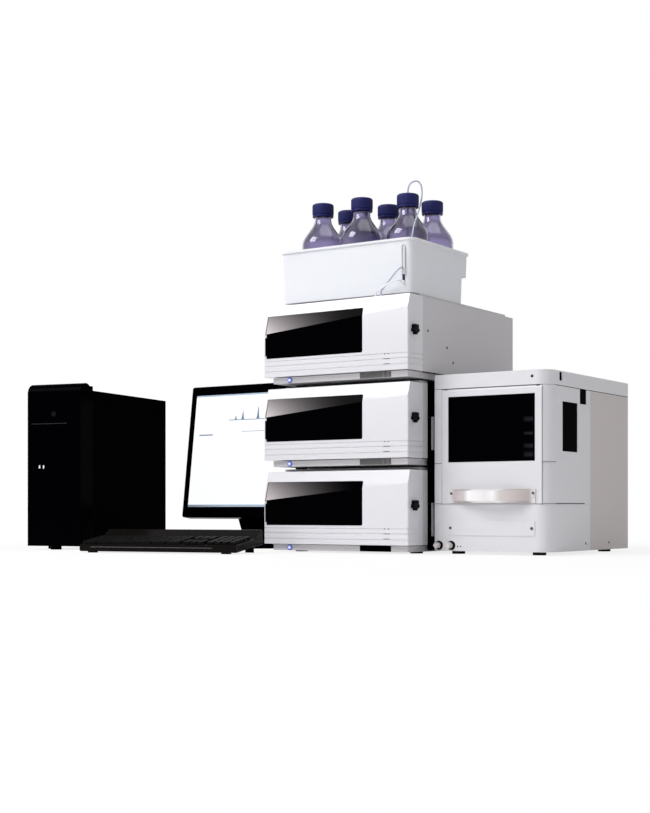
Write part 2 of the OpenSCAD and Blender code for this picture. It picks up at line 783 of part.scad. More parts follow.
module sampler_door() at_sampler() color([0.88, 0.88, 0.9]) {
    difference() {
        union() {
            block([flap_x, 0, flap_z], [flap_x + flap_w, flap_t, flap_axis_z]);
            rod_x([flap_x, flap_axis_y, flap_axis_z], flap_t / 2, flap_w);
        }
        block([pane_x, -1, pane_z], [pane_x + pane_w, 3, pane_z + pane_h]);
        block([pane_x + 8, 2, pane_z + 8], [pane_x + pane_w - 8, flap_t + 1, pane_z + pane_h - 8]);
        for (x = ear_x) block([x - 0.5, 1, flap_axis_z - 13], [x + ear_w + 0.5, flap_t + 1, flap_z + flap_h + 1]);
    }
    for (x = ear_x) rod_x([x - 1, flap_axis_y, flap_axis_z], flap_pin_r, ear_w + 2);
}

module sampler_door_window() at_sampler() color([0.05, 0.05, 0.06]) {
    block([pane_x + 0.3, 0.6, pane_z + 0.3], [pane_x + pane_w - 0.3, 3, pane_z + pane_h - 0.3]);
}

module sampler_handle() at_sampler() color([0.93, 0.93, 0.94]) {
    x0 = handle_x[0];
    x1 = handle_x[1];
    plate = 3;
    bow_t = 7;
    bow_h = 24;
    half = (x1 - x0) / 2 - 9;
    bow_r = (half * half + bow_reach * bow_reach) / (2 * bow_reach);
    low = flap_z + 1.5;
    high = low + handle_h;
    block([x0, -plate, low], [x1, 0, high]);
    intersection() {
        translate([(x0 + x1) / 2, bow_r - bow_reach - plate, low + 4]) difference() {
            cylinder(r = bow_r, h = bow_h, $fn = 160);
            translate([0, 0, -1]) cylinder(r = bow_r - bow_t, h = bow_h + 2, $fn = 160);
        }
        block([x0, -bow_reach - 10, low], [x1, -plate + 1, high]);
    }
    for (x = [x0 + 6, x1 - 6]) rod_y([x, -plate - 2, low + handle_h / 2], 3.5, 3);
}

module sampler_side_window() at_sampler() color([0.06, 0.06, 0.07]) {
    block([sampler_w - 2, win_y + 0.3, win_z + 0.3], [sampler_w - 0.4, win_y + win_d - 0.3, win_z + win_h - 0.3]);
}

module sampler_service_panel() at_sampler() color([0.85, 0.85, 0.88]) {
    block([pane_x, -1.5, panel_z], [pane_x + pane_w, 0, panel_z + panel_h]);
    for (x = [pane_x + 8, pane_x + pane_w - 8]) rod_y([x, -2.7, panel_z + panel_h / 2], 3, 1.3);
}

module sampler_fittings() at_sampler() color([0.93, 0.93, 0.94]) {
    for (x = fitting_x) {
        rod_y([x, -8, fitting_z], 7, 8);
        rod_y([x, -14, fitting_z], 4.5, 6.1);
        rod_y([x, -eps, fitting_z], 2.7, 6);
    }
}

module vial_rack() at_sampler() color([0.5, 0.5, 0.55]) {
    vial_pitch = 18;
    x = arm_x - 60;
    block([x, rack_y, room_z], [x + 8.4 * vial_pitch, rack_y + 4.4 * vial_pitch, room_z + 22]);
    for (i = [0:7], j = [0:3])
        translate([x + (i + 0.7) * vial_pitch, rack_y + (j + 0.7) * vial_pitch, room_z + 21]) {
            cylinder(r = 5.8, h = 14, $fn = 16);
            translate([0, 0, 13]) cylinder(r = 5, h = 6, $fn = 16);
        }
}

module needle_arm() at_sampler() color([0.75, 0.75, 0.78]) {
    front = rail_y - 6;
    back = rail_y + rail_w;
    difference() {
        block([arm_x, front, rail_z - 10], [arm_x + arm_w, back + 6, rail_z + rail_w + 7]);
        block([arm_x - 1, rail_y - rail_gap, rail_z - rail_gap],
              [arm_x + arm_w + 1, back + rail_gap, rail_z + rail_w + rail_gap]);
    }
    difference() {
        block([arm_x + 8, needle_y - 10, rail_z - 5], [arm_x + arm_w - 8, front, rail_z + rail_w]);
        translate([needle_x, needle_y, rail_z - 10]) cylinder(r = 4 + run_fit, h = 30);
    }
}

module needle() at_sampler() color([0.8, 0.8, 0.82]) translate([needle_x, needle_y, 0]) {
    translate([0, 0, shaft_low]) cylinder(r = 4, h = shaft_high - shaft_low);
    translate([0, 0, shaft_low - 40]) cylinder(r = 1, h = 41);
    translate([0, 0, shaft_low - 10]) cylinder(r = 6, h = 12);
}

// ---- Data station ----

module tower_case() at_tower() color([0.07, 0.07, 0.08]) {
    t = 1.5;
    top = tower_h - case_drop;
    difference() {
        block([0, bezel_d, tower_foot], [tower_w, tower_d, top]);
        block([t, bezel_d + t, tower_foot + t], [tower_w - t, tower_d - t, top - t]);
        for (i = [0:9]) block([30, tower_d - 5, 230 + 9 * i], [100, tower_d + 1, 234 + 9 * i]);
        block([100, tower_d - 5, 350], [128, tower_d + 1, 370]);
        for (i = [0:6]) block([20, tower_d - 5, 60 + 20 * i], [110, tower_d + 1, 72 + 20 * i]);
    }
    for (x = [18, tower_w - 18], y = [bezel_d + 30, tower_d - 30]) translate([x, y, 0]) cylinder(r = 12, h = tower_foot + 1);
}

module tower_bezel() at_tower() color([0.05, 0.05, 0.06]) {
    r = 26;
    difference() {
        union() {
            rotate([90, 0, 90]) linear_extrude(tower_w) union() {
                translate([0, tower_foot]) square([bezel_d, tower_h - tower_foot - r]);
                translate([r, tower_foot]) square([bezel_d - r, tower_h - tower_foot - 6]);
                translate([r, tower_h - r]) circle(r);
                translate([r, tower_h - r - 10]) square([bezel_d - r - 10, r + 4]);
            }
        }
        block([4, 4, tower_foot + 4], [tower_w - 4, bezel_d + 1, tower_h - 32]);
        block([-1, -1, 300], [tower_w + 1, 1, 301.5]);
        block([14, -1, 190], [tower_w - 14, 1, 191.5]);
        rod_y([tower_w / 2, -1, 345], 7 + 0.4, 8);
        for (x = [32, 44]) block([x, -1, 205], [x + 8, 5, 216]);
    }
    translate([tower_w / 2 - 5, 18, 0]) cylinder(r = 14, h = tower_foot + 1);
}

module tower_power_button() at_tower() color([0.25, 0.25, 0.28]) {
    rod_y([tower_w / 2, -0.8, 345], 7, 10);
}

// The monitor hangs on a level pivot behind its panel
bulge_y = 48;
tilt_y = bulge_y + 12;
tilt_z = 150;
pivot_y = tilt_y * cos(monitor_tilt) + tilt_z * sin(monitor_tilt);
pivot_z = monitor_z - tilt_y * sin(monitor_tilt) + tilt_z * cos(monitor_tilt);
pivot_r = 8;
pivot_pin_r = 3;
screen_w = monitor_w - 2 * bezel_side;
screen_h = monitor_h - bezel_low - bezel_top;

module at_monitor() {
    at_row([monitor_x, monitor_y, monitor_z]) rotate([-monitor_tilt, 0, 0]) children();
}

module monitor_housing() at_monitor() color([0.05, 0.05, 0.06]) {
    mid = monitor_w / 2;
    difference() {
        union() {
            rotate([90, 0, 0]) mirror([0, 0, 1]) rounded_block([0, 0, 0], [monitor_w, monitor_h, 30], 6);
            block([70, 29, 60], [monitor_w - 70, bulge_y, monitor_h - 60]);
        }
        block([bezel_side, -1, bezel_low], [bezel_side + screen_w, 6, bezel_low + screen_h]);
    }
    // Pivot knuckles
    for (x = [mid - 34, mid + 22]) difference() {
        union() {
            rod_x([x, tilt_y, tilt_z], pivot_r, 12);
            block([x, bulge_y - 1, tilt_z - pivot_r], [x + 12, tilt_y, tilt_z + pivot_r]);
        }
        rod_x([x - 1, tilt_y, tilt_z], pivot_pin_r + run_fit, 14);
    }
}

module monitor_screen() at_monitor() color([0.92, 0.94, 0.96]) {
    block([bezel_side + 0.3, 1.5, bezel_low + 0.3], [bezel_side + screen_w - 0.3, 6, bezel_low + screen_h - 0.3]);
}

module monitor_stand() at_row([monitor_x, monitor_y, 0]) color([0.06, 0.06, 0.07]) {
    mid = monitor_w / 2;
    neck_y = pivot_y + 2;
    translate([mid, neck_y, 0]) cylinder(r = 110, h = 9, $fn = 96);
    translate([mid, neck_y, 8]) cylinder(r = 60, h = 5);
    block([mid - 37, neck_y, 8], [mid + 37, neck_y + 26, pivot_z - 24]);
    block([mid - 21, neck_y, pivot_z - 30], [mid + 21, neck_y + 26, pivot_z + pivot_r]);
    rod_x([mid - 21, pivot_y, pivot_z], pivot_r, 42);
    block([mid - 21, pivot_y, pivot_z - pivot_r], [mid + 21, neck_y + 1, pivot_z + pivot_r]);
    rod_x([mid - 35, pivot_y, pivot_z], pivot_pin_r, 70);
}

module keyboard_case() at_keyboard() color([0.06, 0.06, 0.07]) {
    rotate([90, 0, 90]) linear_extrude(keyboard_w)
        polygon([[0, 8], [4, 4], [keyboard_d, 28], [keyboard_d, 46], [keyboard_d - 4, 50], [keyboard_d - 24, 48], [0, 17]]);
    for (x = [20, keyboard_w - 40]) {
        block([x, 8, 0], [x + 20, 18, 8]);
        block([x, keyboard_d - 14, 0], [x + 20, keyboard_d - 8, 34]);
    }
}

key_slope = atan(31 / (keyboard_d - 24));

module key(col, row, span) {
    translate([8 + col * key_pitch, 10 + row * key_pitch, 0])
        block([0, 0, 0.2], [span * key_pitch - 2.5, key_pitch - 2.5, 7]);
}

module keyboard_keys() at_keyboard() color([0.09, 0.09, 0.1])
    translate([0, 0, 17]) rotate([key_slope, 0, 0]) {
        for (row = [1:4], col = [0:13]) key(col + 0.2, row, 1);
        for (span = [[0, 2], [2, 2], [4, 6], [10, 2], [12, 2]]) key(span[0] + 0.2, 0, span[1]);
        for (row = [0:4], col = [14.8:1:16.8]) if (row != 2) key(col, row, 1);
        for (row = [0:4], col = [18.4:1:21.4]) key(col, row, 1);
    }

chassis(0);  // lower_chassis
chassis(1);  // middle_chassis
chassis(2);  // upper_chassis
cover(0);  // lower_cover
cover(1);  // middle_cover
cover(2);  // upper_cover
front(0);  // lower_front
front(1);  // middle_front
front(2);  // upper_front
window_door(0);  // lower_window_door
window_door(1);  // middle_window_door
window_door(2);  // upper_window_door
valve_knob(0);  // lower_valve_knob
valve_knob(1);  // middle_valve_knob
valve_knob(2);  // upper_valve_knob
power_button(0);  // lower_power_button
power_button(1);  // middle_power_button
power_button(2);  // upper_power_button
fluidics(0);  // lower_fluidics
fluidics(1);  // middle_fluidics
fluidics(2);  // upper_fluidics
pump_drive(0);  // lower_drive
pump_drive(1);  // middle_drive
optics(2);  // upper_optics
rubber_feet();
solvent_tray();
bottle(0);  // bottle_1
bottle(1);  // bottle_2
bottle(2);  // bottle_3
bottle(3);  // bottle_4
bottle(4);  // bottle_5
bottle(5);  // bottle_6
cap(0);  // cap_1
cap(1);  // cap_2
cap(2);  // cap_3
cap(3);  // cap_4
cap(4);  // cap_5
cap(5);  // cap_6
sampler_housing();
sampler_rear_cover();
sampler_top_cover();
sampler_door();
sampler_door_window();
sampler_handle();
sampler_side_window();
sampler_service_panel();
sampler_fittings();
vial_rack();
needle_arm();
needle();
tower_case();
tower_bezel();
tower_power_button();
monitor_housing();
monitor_screen();
monitor_stand();
keyboard_case();
keyboard_keys();
solvent_line();
drain_line();
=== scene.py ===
"""Finishes and trim for a bench liquid chromatography set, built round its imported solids."""

import json
import math

import bmesh
import bpy
from mathutils import Matrix, Vector


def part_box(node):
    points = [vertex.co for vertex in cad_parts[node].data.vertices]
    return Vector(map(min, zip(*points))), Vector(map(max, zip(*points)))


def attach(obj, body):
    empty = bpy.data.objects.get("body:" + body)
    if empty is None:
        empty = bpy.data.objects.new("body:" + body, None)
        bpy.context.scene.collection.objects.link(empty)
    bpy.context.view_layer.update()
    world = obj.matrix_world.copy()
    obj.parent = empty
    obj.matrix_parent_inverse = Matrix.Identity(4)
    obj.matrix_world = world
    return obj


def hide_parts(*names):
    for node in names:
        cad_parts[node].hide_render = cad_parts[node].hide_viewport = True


bl_info = {
    "name": "Chromatography Set Finish",
    "version": (1, 0, 0),
    "blender": (4, 5, 0),
    "location": "View3D > Sidebar > Chromatography",
    "description": "Adds glass, caps, trim, finishes and a studio stage to a chromatography set",
    "category": "Object",
}

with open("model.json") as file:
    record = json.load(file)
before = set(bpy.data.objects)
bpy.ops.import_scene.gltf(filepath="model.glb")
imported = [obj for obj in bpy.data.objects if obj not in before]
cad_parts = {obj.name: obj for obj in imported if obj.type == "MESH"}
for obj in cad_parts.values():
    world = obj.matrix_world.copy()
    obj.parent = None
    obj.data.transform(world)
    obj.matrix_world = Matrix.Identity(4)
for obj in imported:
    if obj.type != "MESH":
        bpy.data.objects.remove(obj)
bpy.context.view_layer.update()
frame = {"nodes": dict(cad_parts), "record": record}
MM = 0.001
MATERIALS = {}
LEVELS = ("lower", "middle", "upper")
BOTTLES = range(1, 7)
# The bottle whose cap the solvent line passes through
TUBED = 3
FRONT, RIGHT = (0, -1, 0), (1, 0, 0)
SHARP_ANGLE, CREASE_ANGLE = 35.0, 12.0

# Places of trim, in millimetres. X, Y and Z are the frame's own, and a recess is up from its pan's underside
# A dark strip on the modules' right sides beside the autosampler is painted shade
SHADE_STRIP_Y, SHADE_STRIP_Z = (-30, 60), (8, 399)
TRAY_SLOT_X, TRAY_SLOT_Z = (368.6, 374.4), (641, 707)
RECESS_X, RECESS_UP = (265, 349), (0.6, 14.4)
RIBS_X, RIB_WIDTH = (327, 340), 2
# Back from a front and up from its underside
FLANK_SCREWS = ((90, 95), (181, 64), (211, 31))
# Across from the autosampler's left side, or back from its front, and up from the bench
HANDLE_SCREWS, HANDLE_SCREW_UP = (47, 251), 138
PANEL_SCREWS, PANEL_SCREW_UP = (44, 247), 60
SIDE_SCREWS, SIDE_SCREW_UP = (196, 332), 24
# Dark discs of painted shadow behind the fittings
FITTING_SHADOWS, FITTING_SHADOW_UP = (13, 45), 20
DOTS, DOT_UP = (61.4, 69.3), 17.9
FRONT_SEAMS = (114.6, 207)
# Notches in painted shade and seams on its side: back, depth, up and height
SIDE_OPENINGS = ((163, 34, 343, 34), (52, 11, 388, 19), (33, 157, 114.6, 1.7), (33, 416, 376.3, 1.3))
# Across the tower's front, and up from the bench
TONGUES_ACROSS, TONGUE_WIDTH, TONGUE_UP = (33.5, 45.5), 4, (207, 215)
BAY_SEAM_ACROSS, BAY_SEAM_UP = (12, 118), (320, 321.4)
# Half the width of the monitor's neck, and up from the bench
NECK_OUTLINE = ((58, 12), (70, 45), (88, 97), (88, 140))

# Lines' routes from the third bottle's axis at the tray's floor level, in millimetres
SOLVENT_ROUTE = ((0, 0, 12), (0, 0, 100), (0, 0, 200), (0, 0, 250), (1, 1, 263), (7, 4, 274), (18, 12, 278),
                 (26, 17, 268), (28, 18, 250), (29, 12, 228), (30, 0, 206), (36, -33, 164), (43, -54, 136),
                 (41, -67, 110), (41, -81, 72), (42, -90, 58), (42, -102, 55), (36, -110, 48), (18, -110, 30),
                 (-2, -106, 12), (-10, -104, 4), (-10, -104, -6))
DRAIN_ROUTE = ((42, -97, 24), (42, -104, 24), (38, -111, 26), (24, -113, 24), (2, -112, 14), (-18, -108, 6),
               (-24, -104, 2), (-24, -104, -6))


# ---- Settings ----

def length(label, text, default):
    return bpy.props.FloatProperty(name=label, description=text, default=default, min=0.0, max=10.0,
                                   subtype="DISTANCE", unit="LENGTH")


def angle(label, text, degrees):
    return bpy.props.FloatProperty(name=label, description=text, default=math.radians(degrees),
                                   subtype="ANGLE", unit="ROTATION")


def colour(label, text, default):
    return bpy.props.FloatVectorProperty(name=label, description=text, default=default, size=3,
                                         min=0.0, max=1.0, subtype="COLOR")


class FinishSettings(bpy.types.PropertyGroup):
    front: colour("Moulded front", "Colour of the moulded fronts", (0.74, 0.735, 0.775))
    cover: colour("Sheet cover", "Colour of the modules' sheet covers", (0.60, 0.585, 0.605))
    pan: colour("Base pan", "Colour of the modules' base pans", (0.60, 0.585, 0.605))
    sampler: colour("Autosampler front", "Colour of the autosampler's painted front", (0.72, 0.715, 0.75))
    sampler_rear: colour("Autosampler rear", "Colour of the autosampler's rear cover", (0.60, 0.56, 0.55))
    # Palest colour of the painted reflection on the window doors' upper facets
    fade: colour("Panel fade", "Palest colour on a window door's upper facet", (0.80, 0.73, 0.755))
    tray: colour("Tray", "Colour of the solvent tray", (0.80, 0.80, 0.84))
    cap: colour("Cap", "Colour of the bottle caps", (0.013, 0.015, 0.105))
    glass: colour("Glass", "Tint of the bottle glass", (0.70, 0.67, 0.82))
    solvent: colour("Solvent", "Tint of the solvent", (0.52, 0.48, 0.64))
    black: colour("Black plastic", "Colour of the black plastic parts", (0.0004, 0.0003, 0.0008))
    lamp: colour("Lamp", "Colour of the lit power buttons", (0.22, 0.26, 0.95))


class TrimSettings(bpy.types.PropertyGroup):
    edge: length("Edge radius", "Radius of the housings' softened edges", 0.8 * MM)
    cap_rib: length("Cap rib", "Height of a rib on a cap", 0.7 * MM)
    glass_wall: length("Glass wall", "Thickness of the bottle glass", 2.2 * MM)
    line_width: length("Line width", "Outer diameter of the solvent lines", 4 * MM)
    key_taper: length("Key taper", "How far a key's top draws in", 1.4 * MM)
    key_pitch: length("Key pitch", "Spacing of the keys", 18.4 * MM)
    keyboard_turn: angle("Keyboard turn", "Turn of the keyboard on the bench", 12)
    tower_turn: angle("Tower turn", "Turn of the computer tower", 10.7)
    screw_head: length("Screw head", "Diameter of a small screw head", 6.5 * MM)


class StageSettings(bpy.types.PropertyGroup):
    stand_off: bpy.props.FloatVectorProperty(
        name="Camera place", description="Camera from the stack's right front corner", size=3,
        default=(1.6458, -2.8012, 0.100), subtype="TRANSLATION", unit="LENGTH")
    turn: angle("Camera turn", "Turn of the camera from straight ahead", 33.75)
    lens: bpy.props.FloatProperty(name="Lens", description="Focal length in millimetres", default=63.57,
                                  subtype="DISTANCE_CAMERA")
    rise: bpy.props.FloatProperty(name="Lens rise", description="Upward shift of the lens", default=0.1277)
    key_power: bpy.props.FloatProperty(name="Key light", description="Power of the key light in watts",
                                       default=215.0, min=0.0)
    sky: bpy.props.FloatProperty(name="Sky level", description="Strength of the surrounding light",
                                 default=0.46, min=0.0, max=2.0)


# ---- Materials ----

def feed(tree, node, sockets):
    """Sets a node's inputs, or links them where the value is another node's output."""
    for key, value in sockets.items():
        if isinstance(value, bpy.types.NodeSocket):
            tree.links.new(value, node.inputs[key])
        else:
            node.inputs[key].default_value = value


def add(tree, kind, sockets=None, **values):
    """A new node with its properties set and its inputs set or linked."""
    node = tree.nodes.new(kind)
    for key, value in values.items():
        setattr(node, key, value)
    feed(tree, node, sockets or {})
    return node


def calc(tree, operation, *terms):
    """The result of a maths node whose terms are numbers or other nodes' outputs."""
    return add(tree, "ShaderNodeMath", dict(enumerate(terms)), operation=operation).outputs[0]


def blend(tree, factor, first, second):
    """A colour between two colours."""
    sockets = {"Factor": factor, "A": (*first, 1.0), "B": (*second, 1.0)}
    return add(tree, "ShaderNodeMix", sockets, data_type="RGBA").outputs["Result"]


def along(tree, axis, ends, values=(0.0, 1.0)):
    """A value that runs between two ends along one of the piece's own axes."""
    spot = add(tree, "ShaderNodeSeparateXYZ", {0: add(tree, "ShaderNodeTexCoord").outputs["Object"]})
    names = ("Value", "From Min", "From Max", "To Min", "To Max")
    sockets = dict(zip(names, (spot.outputs[axis], *ends, *values)))
    return add(tree, "ShaderNodeMapRange", sockets).outputs["Result"]


def ramp(tree, factor, stops):
    """A colour read from a ramp of (place, colour) stops."""
    node = add(tree, "ShaderNodeValToRGB", {0: factor})
    elements = node.color_ramp.elements
    while len(elements) < len(stops):
        elements.new(0.5)
    for stop, (at, tone) in zip(elements, stops):
        stop.position, stop.color = at, (*tone, 1.0)
    return node.outputs["Color"]


def grain_group():
    """A shared finish: fine grain for bump, with slow variation of colour and roughness."""
    tree = bpy.data.node_groups.new("Surface grain", "ShaderNodeTree")
    face = tree.interface
    face.new_socket("Color", in_out="INPUT", socket_type="NodeSocketColor")
    for name, value in (("Grain Scale", 900.0), ("Mottle", 0.04), ("Rough Low", 0.3), ("Rough High", 0.4)):
        face.new_socket(name, in_out="INPUT", socket_type="NodeSocketFloat").default_value = value
    for name, kind in (("Color", "Color"), ("Roughness", "Float"), ("Height", "Float")):
        face.new_socket(name, in_out="OUTPUT", socket_type="NodeSocket" + kind)
    inner = add(tree, "NodeGroupInput").outputs
    place = add(tree, "ShaderNodeTexCoord").outputs["Object"]
    fine, slow = (add(tree, "ShaderNodeTexNoise", {"Vector": place, "Scale": scale, "Detail": detail},
                      noise_dimensions="3D").outputs["Fac"]
                  for scale, detail in ((inner["Grain Scale"], 3.0), (9.0, 4.0)))
    swing = calc(tree, "MULTIPLY_ADD", calc(tree, "SUBTRACT", slow, 0.5), inner["Mottle"], 1.0)
    tint = add(tree, "ShaderNodeVectorMath", {0: inner["Color"], "Scale": swing}, operation="SCALE")
    rough = add(tree, "ShaderNodeMapRange", {"Value": slow, "From Min": 0.1, "From Max": 0.9,
                                             "To Min": inner["Rough Low"], "To Max": inner["Rough High"]})
    add(tree, "NodeGroupOutput", {"Color": tint.outputs[0], "Roughness": rough.outputs["Result"],
                                  "Height": fine})
    return tree


def grained(tree, sockets):
    """The outputs of the shared grain, made once, with its inputs set."""
    shared = bpy.data.node_groups.get("Surface grain") or grain_group()
    return add(tree, "ShaderNodeGroup", sockets, node_tree=shared).outputs


def shader_of(mat):
    return mat.node_tree, mat.node_tree.nodes["Principled BSDF"]


def blank_material(name):
    mat = bpy.data.materials.new(name)
    mat.use_nodes = True
    return mat, *shader_of(mat)


def finish(name, base, rough=(0.3, 0.4), grain=900.0, bump=0.02, mottle=0.03, **sockets):
    """A painted, moulded or metal finish: colour and roughness drift slowly, and grain gives the bump."""
    mat, tree, shader = blank_material(name)
    made = grained(tree, {"Color": (*base, 1.0), "Grain Scale": grain, "Mottle": mottle,
                          "Rough Low": rough[0], "Rough High": rough[1]})
    relief = add(tree, "ShaderNodeBump", {"Strength": bump, "Distance": 0.2 * MM, "Height": made["Height"]})
    feed(tree, shader, {"Base Color": made["Color"], "Roughness": made["Roughness"],
                        "Normal": relief.outputs["Normal"]})
    feed(tree, shader, {key.replace("_", " "): value for key, value in sockets.items()})
    return mat


def clear_finish(name, base, ior, rough=0.02):
    """Glass, liquid or clear plastic, with a faint drift of its roughness."""
    mat, tree, shader = blank_material(name)
    made = grained(tree, {"Rough Low": rough, "Rough High": rough + 0.03})
    feed(tree, shader, {"Base Color": (*base, 1.0), "Transmission Weight": 1.0, "IOR": ior,
                        "Roughness": made["Roughness"]})
    return mat


def glow(name, base, strength, core):
    """A lit piece whose glow changes a little over its face, down to a share of its colour."""
    mat, tree, shader = blank_material(name)
    place = add(tree, "ShaderNodeTexCoord").outputs["Object"]
    noise = add(tree, "ShaderNodeTexNoise", {"Vector": place, "Scale": 60.0}).outputs["Fac"]
    feed(tree, shader, {"Emission Color": blend(tree, noise, base, [core * c for c in base]),
                        "Base Color": (*base, 1.0), "Emission Strength": strength, "Roughness": 0.25})
    return mat


def make_materials(paint):
    black = paint.black
    return {
        "front_white": finish("Moulded front", paint.front, (0.29, 0.31), 700, 0.01, 0.006, Coat_Weight=0.15),
        "cover_grey": finish("Cover powder coat", paint.cover, (0.42, 0.52), 1500, 0.10, 0.03),
        "pan_grey": finish("Pan powder coat", paint.pan, (0.40, 0.50), 1500, 0.10, 0.03),
        "tinted_panel": finish("Tinted panel", black, (0.02, 0.04), 300, 0.0, 0.0, Specular_IOR_Level=0.004),
        "black_plastic": finish("Black plastic", black, (0.45, 0.6), 1800, 0.15, 0.1,
                                Specular_IOR_Level=0.10),
        "lit_button": glow("Lit button", paint.lamp, 0.7, 0.6),
        "polished_steel": finish("Polished steel", (0.55, 0.55, 0.57), (0.18, 0.3), 900, 0.05, 0.05,
                                 Metallic=1.0),
        "drive_grey": finish("Drive castings", (0.22, 0.23, 0.24), (0.5, 0.65), 700, 0.3, 0.1, Metallic=0.6),
        "rubber": finish("Rubber", (0.012, 0.012, 0.012), (0.65, 0.8), 1200, 0.3, 0.1),
        "tray_white": finish("Tray plastic", paint.tray, (0.32, 0.42), 500, 0.04, 0.02,
                             Subsurface_Weight=0.05),
        "bottle_glass": clear_finish("Bottle glass", paint.glass, 1.47),
        "cap_blue": finish("Cap plastic", paint.cap, (0.38, 0.5), 900, 0.12, 0.08, Specular_IOR_Level=0.22),
        "sampler_white": finish("Autosampler paint", paint.sampler, (0.32, 0.42), 1300, 0.05, 0.015),
        "sampler_grey": finish("Autosampler powder coat", paint.sampler_rear, (0.45, 0.55), 1500, 0.10, 0.03),
        "handle_white": finish("Handle plastic", (0.70, 0.65, 0.65), (0.06, 0.14), 400, 0.01, 0.05,
                               Coat_Weight=0.8),
        "rack_grey": finish("Rack", (0.30, 0.30, 0.33), (0.3, 0.45), 900, 0.1, 0.05, Metallic=0.8),
        "brushed_metal": finish("Brushed metal", (0.6, 0.6, 0.62), (0.25, 0.4), 1200, 0.2, 0.05,
                                Metallic=1.0),
        "tower_black": finish("Tower sheet", black, (0.4, 0.55), 1500, 0.15, 0.1, Specular_IOR_Level=0.002),
        "gloss_black": finish("Gloss black", black, (0.10, 0.2), 500, 0.02, 0.05, Specular_IOR_Level=0.004),
        "screen_white": screen_finish(),
        "clear_line": finish("Milky line", (0.60, 0.65, 0.78), (0.15, 0.25), 900, 0.0, 0.03,
                             Transmission_Weight=0.3),
    }


def panel_finish(name, black):
    return finish(name, black, (0.03, 0.05), 300, 0.0, 0.0, Specular_IOR_Level=0.01)


def window_finish(node, paint):
    """A dark gloss panel with a painted reflection on its upper facet, palest at its lower left."""
    facet_drop, reflection_power, reflection_at_top = 60 * MM, 2.9, 0.33
    mat = panel_finish(f"Reflection panel {node}", paint.black)
    tree, shader = shader_of(mat)
    low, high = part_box(node)
    across = calc(tree, "POWER", along(tree, "X", (low.x, high.x), (1.0, 0.0)), reflection_power)
    upward = along(tree, "Z", (high.z - facet_drop, high.z), (1.0, reflection_at_top))
    facing = add(tree, "ShaderNodeSeparateXYZ", {0: add(tree, "ShaderNodeTexCoord").outputs["Normal"]})
    leaning = calc(tree, "GREATER_THAN", facing.outputs["Z"], 0.1)
    share = calc(tree, "MULTIPLY", calc(tree, "MULTIPLY", across, upward), leaning)
    feed(tree, shader, {"Base Color": blend(tree, share, paint.black, paint.fade)})
    return mat


def sampler_window_finish(black):
    """A dark panel with the ends of pale shelves showing faintly through it near its right side."""
    ends_across = ((0.0, 0), (0.86, 0), (0.90, 0.8), (0.975, 1), (0.985, 0))
    shelves_up = ((0.0, 0), (0.05, 0), (0.09, 0.9), (0.14, 0.1), (0.18, 0), (0.22, 0.8), (0.27, 0),
                  (0.38, 0), (0.41, 0.9), (0.44, 0), (0.57, 0), (0.62, 0.8), (0.67, 0))
    mat = panel_finish("Autosampler window", black)
    tree, shader = shader_of(mat)
    low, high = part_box("sampler_door_window")
    masks = [ramp(tree, along(tree, axis, ends), [(at, (level,) * 3) for at, level in stops])
             for axis, ends, stops in (("X", (low.x, high.x), ends_across),
                                       ("Z", (low.z, high.z), shelves_up))]
    tint = blend(tree, calc(tree, "MULTIPLY", *masks), black, (0.022, 0.022, 0.026))
    feed(tree, shader, {"Base Color": tint})
    return mat


def handle_finish():
    """Gloss plastic with a painted reflection: its tone changes in broad bands along its length."""
    end, dim_band, pale = (0.80, 0.77, 0.78), (0.56, 0.49, 0.49), (0.93, 0.92, 0.93)
    reflection_bands = ((0.0, end), (0.07, dim_band), (0.22, (0.60, 0.54, 0.54)), (0.28, pale), (0.50, (0.84, 0.82, 0.83)),
             (0.58, (0.94, 0.93, 0.94)), (0.66, (0.68, 0.62, 0.62)), (0.93, dim_band), (1.0, end))
    mat = finish("Reflection_banded handle plastic", (0.7, 0.65, 0.65), (0.06, 0.14), 400, 0.01, 0.0, Coat_Weight=0.8)
    tree, shader = shader_of(mat)
    low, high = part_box("sampler_handle")
    feed(tree, shader, {"Base Color": ramp(tree, along(tree, "X", (low.x, high.x)), reflection_bands)})
    return mat


def screen_finish():
    """The lit screen: a white page that is a little cooler towards its foot."""
    mat, tree, shader = blank_material("Lit screen")
    low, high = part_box("monitor_screen")
    page = blend(tree, along(tree, "Z", (low.z, high.z)), (0.97, 0.985, 1.0), (1.0, 1.0, 1.0))
    feed(tree, shader, {"Emission Color": page, "Base Color": (0.02, 0.02, 0.02, 1.0),
                        "Emission Strength": 1.0, "Roughness": 0.2})
    return mat


# ---- Making pieces ----

def turned(node, turn):
    """The low front left corner of a piece that stands turned, as a matrix, with its width and depth."""
    low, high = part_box(node)
    wide, deep = high.x - low.x, high.y - low.y
    c, k = math.cos(turn), math.sin(turn)
    width = (wide * c - deep * k) / math.cos(2 * turn)
    depth = (deep * c - wide * k) / math.cos(2 * turn)
    start = Matrix.Translation((low.x + depth * k, low.y, 0.0))
    return start @ Matrix.Rotation(turn, 4, "Z"), width, depth


def slot_of(node):
    return next(s["material_slot"] for s in frame["record"]["subparts"] if s["node"] == node)


def body_of(node):
    return next(b for b, nodes in frame["record"]["behaviour"]["bodies"].items() if node in nodes)


def material(slot):
    return bpy.data.materials[MATERIALS[slot]]


def centre_of(node):
    low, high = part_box(node)
    return (low + high) / 2


def foot_of(node):
    """The middle of a node's underside, then its width, depth and height."""
    low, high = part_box(node)
    middle = Vector(((low.x + high.x) / 2, (low.y + high.y) / 2, low.z))
    return middle, *(b - a for a, b in zip(low, high))


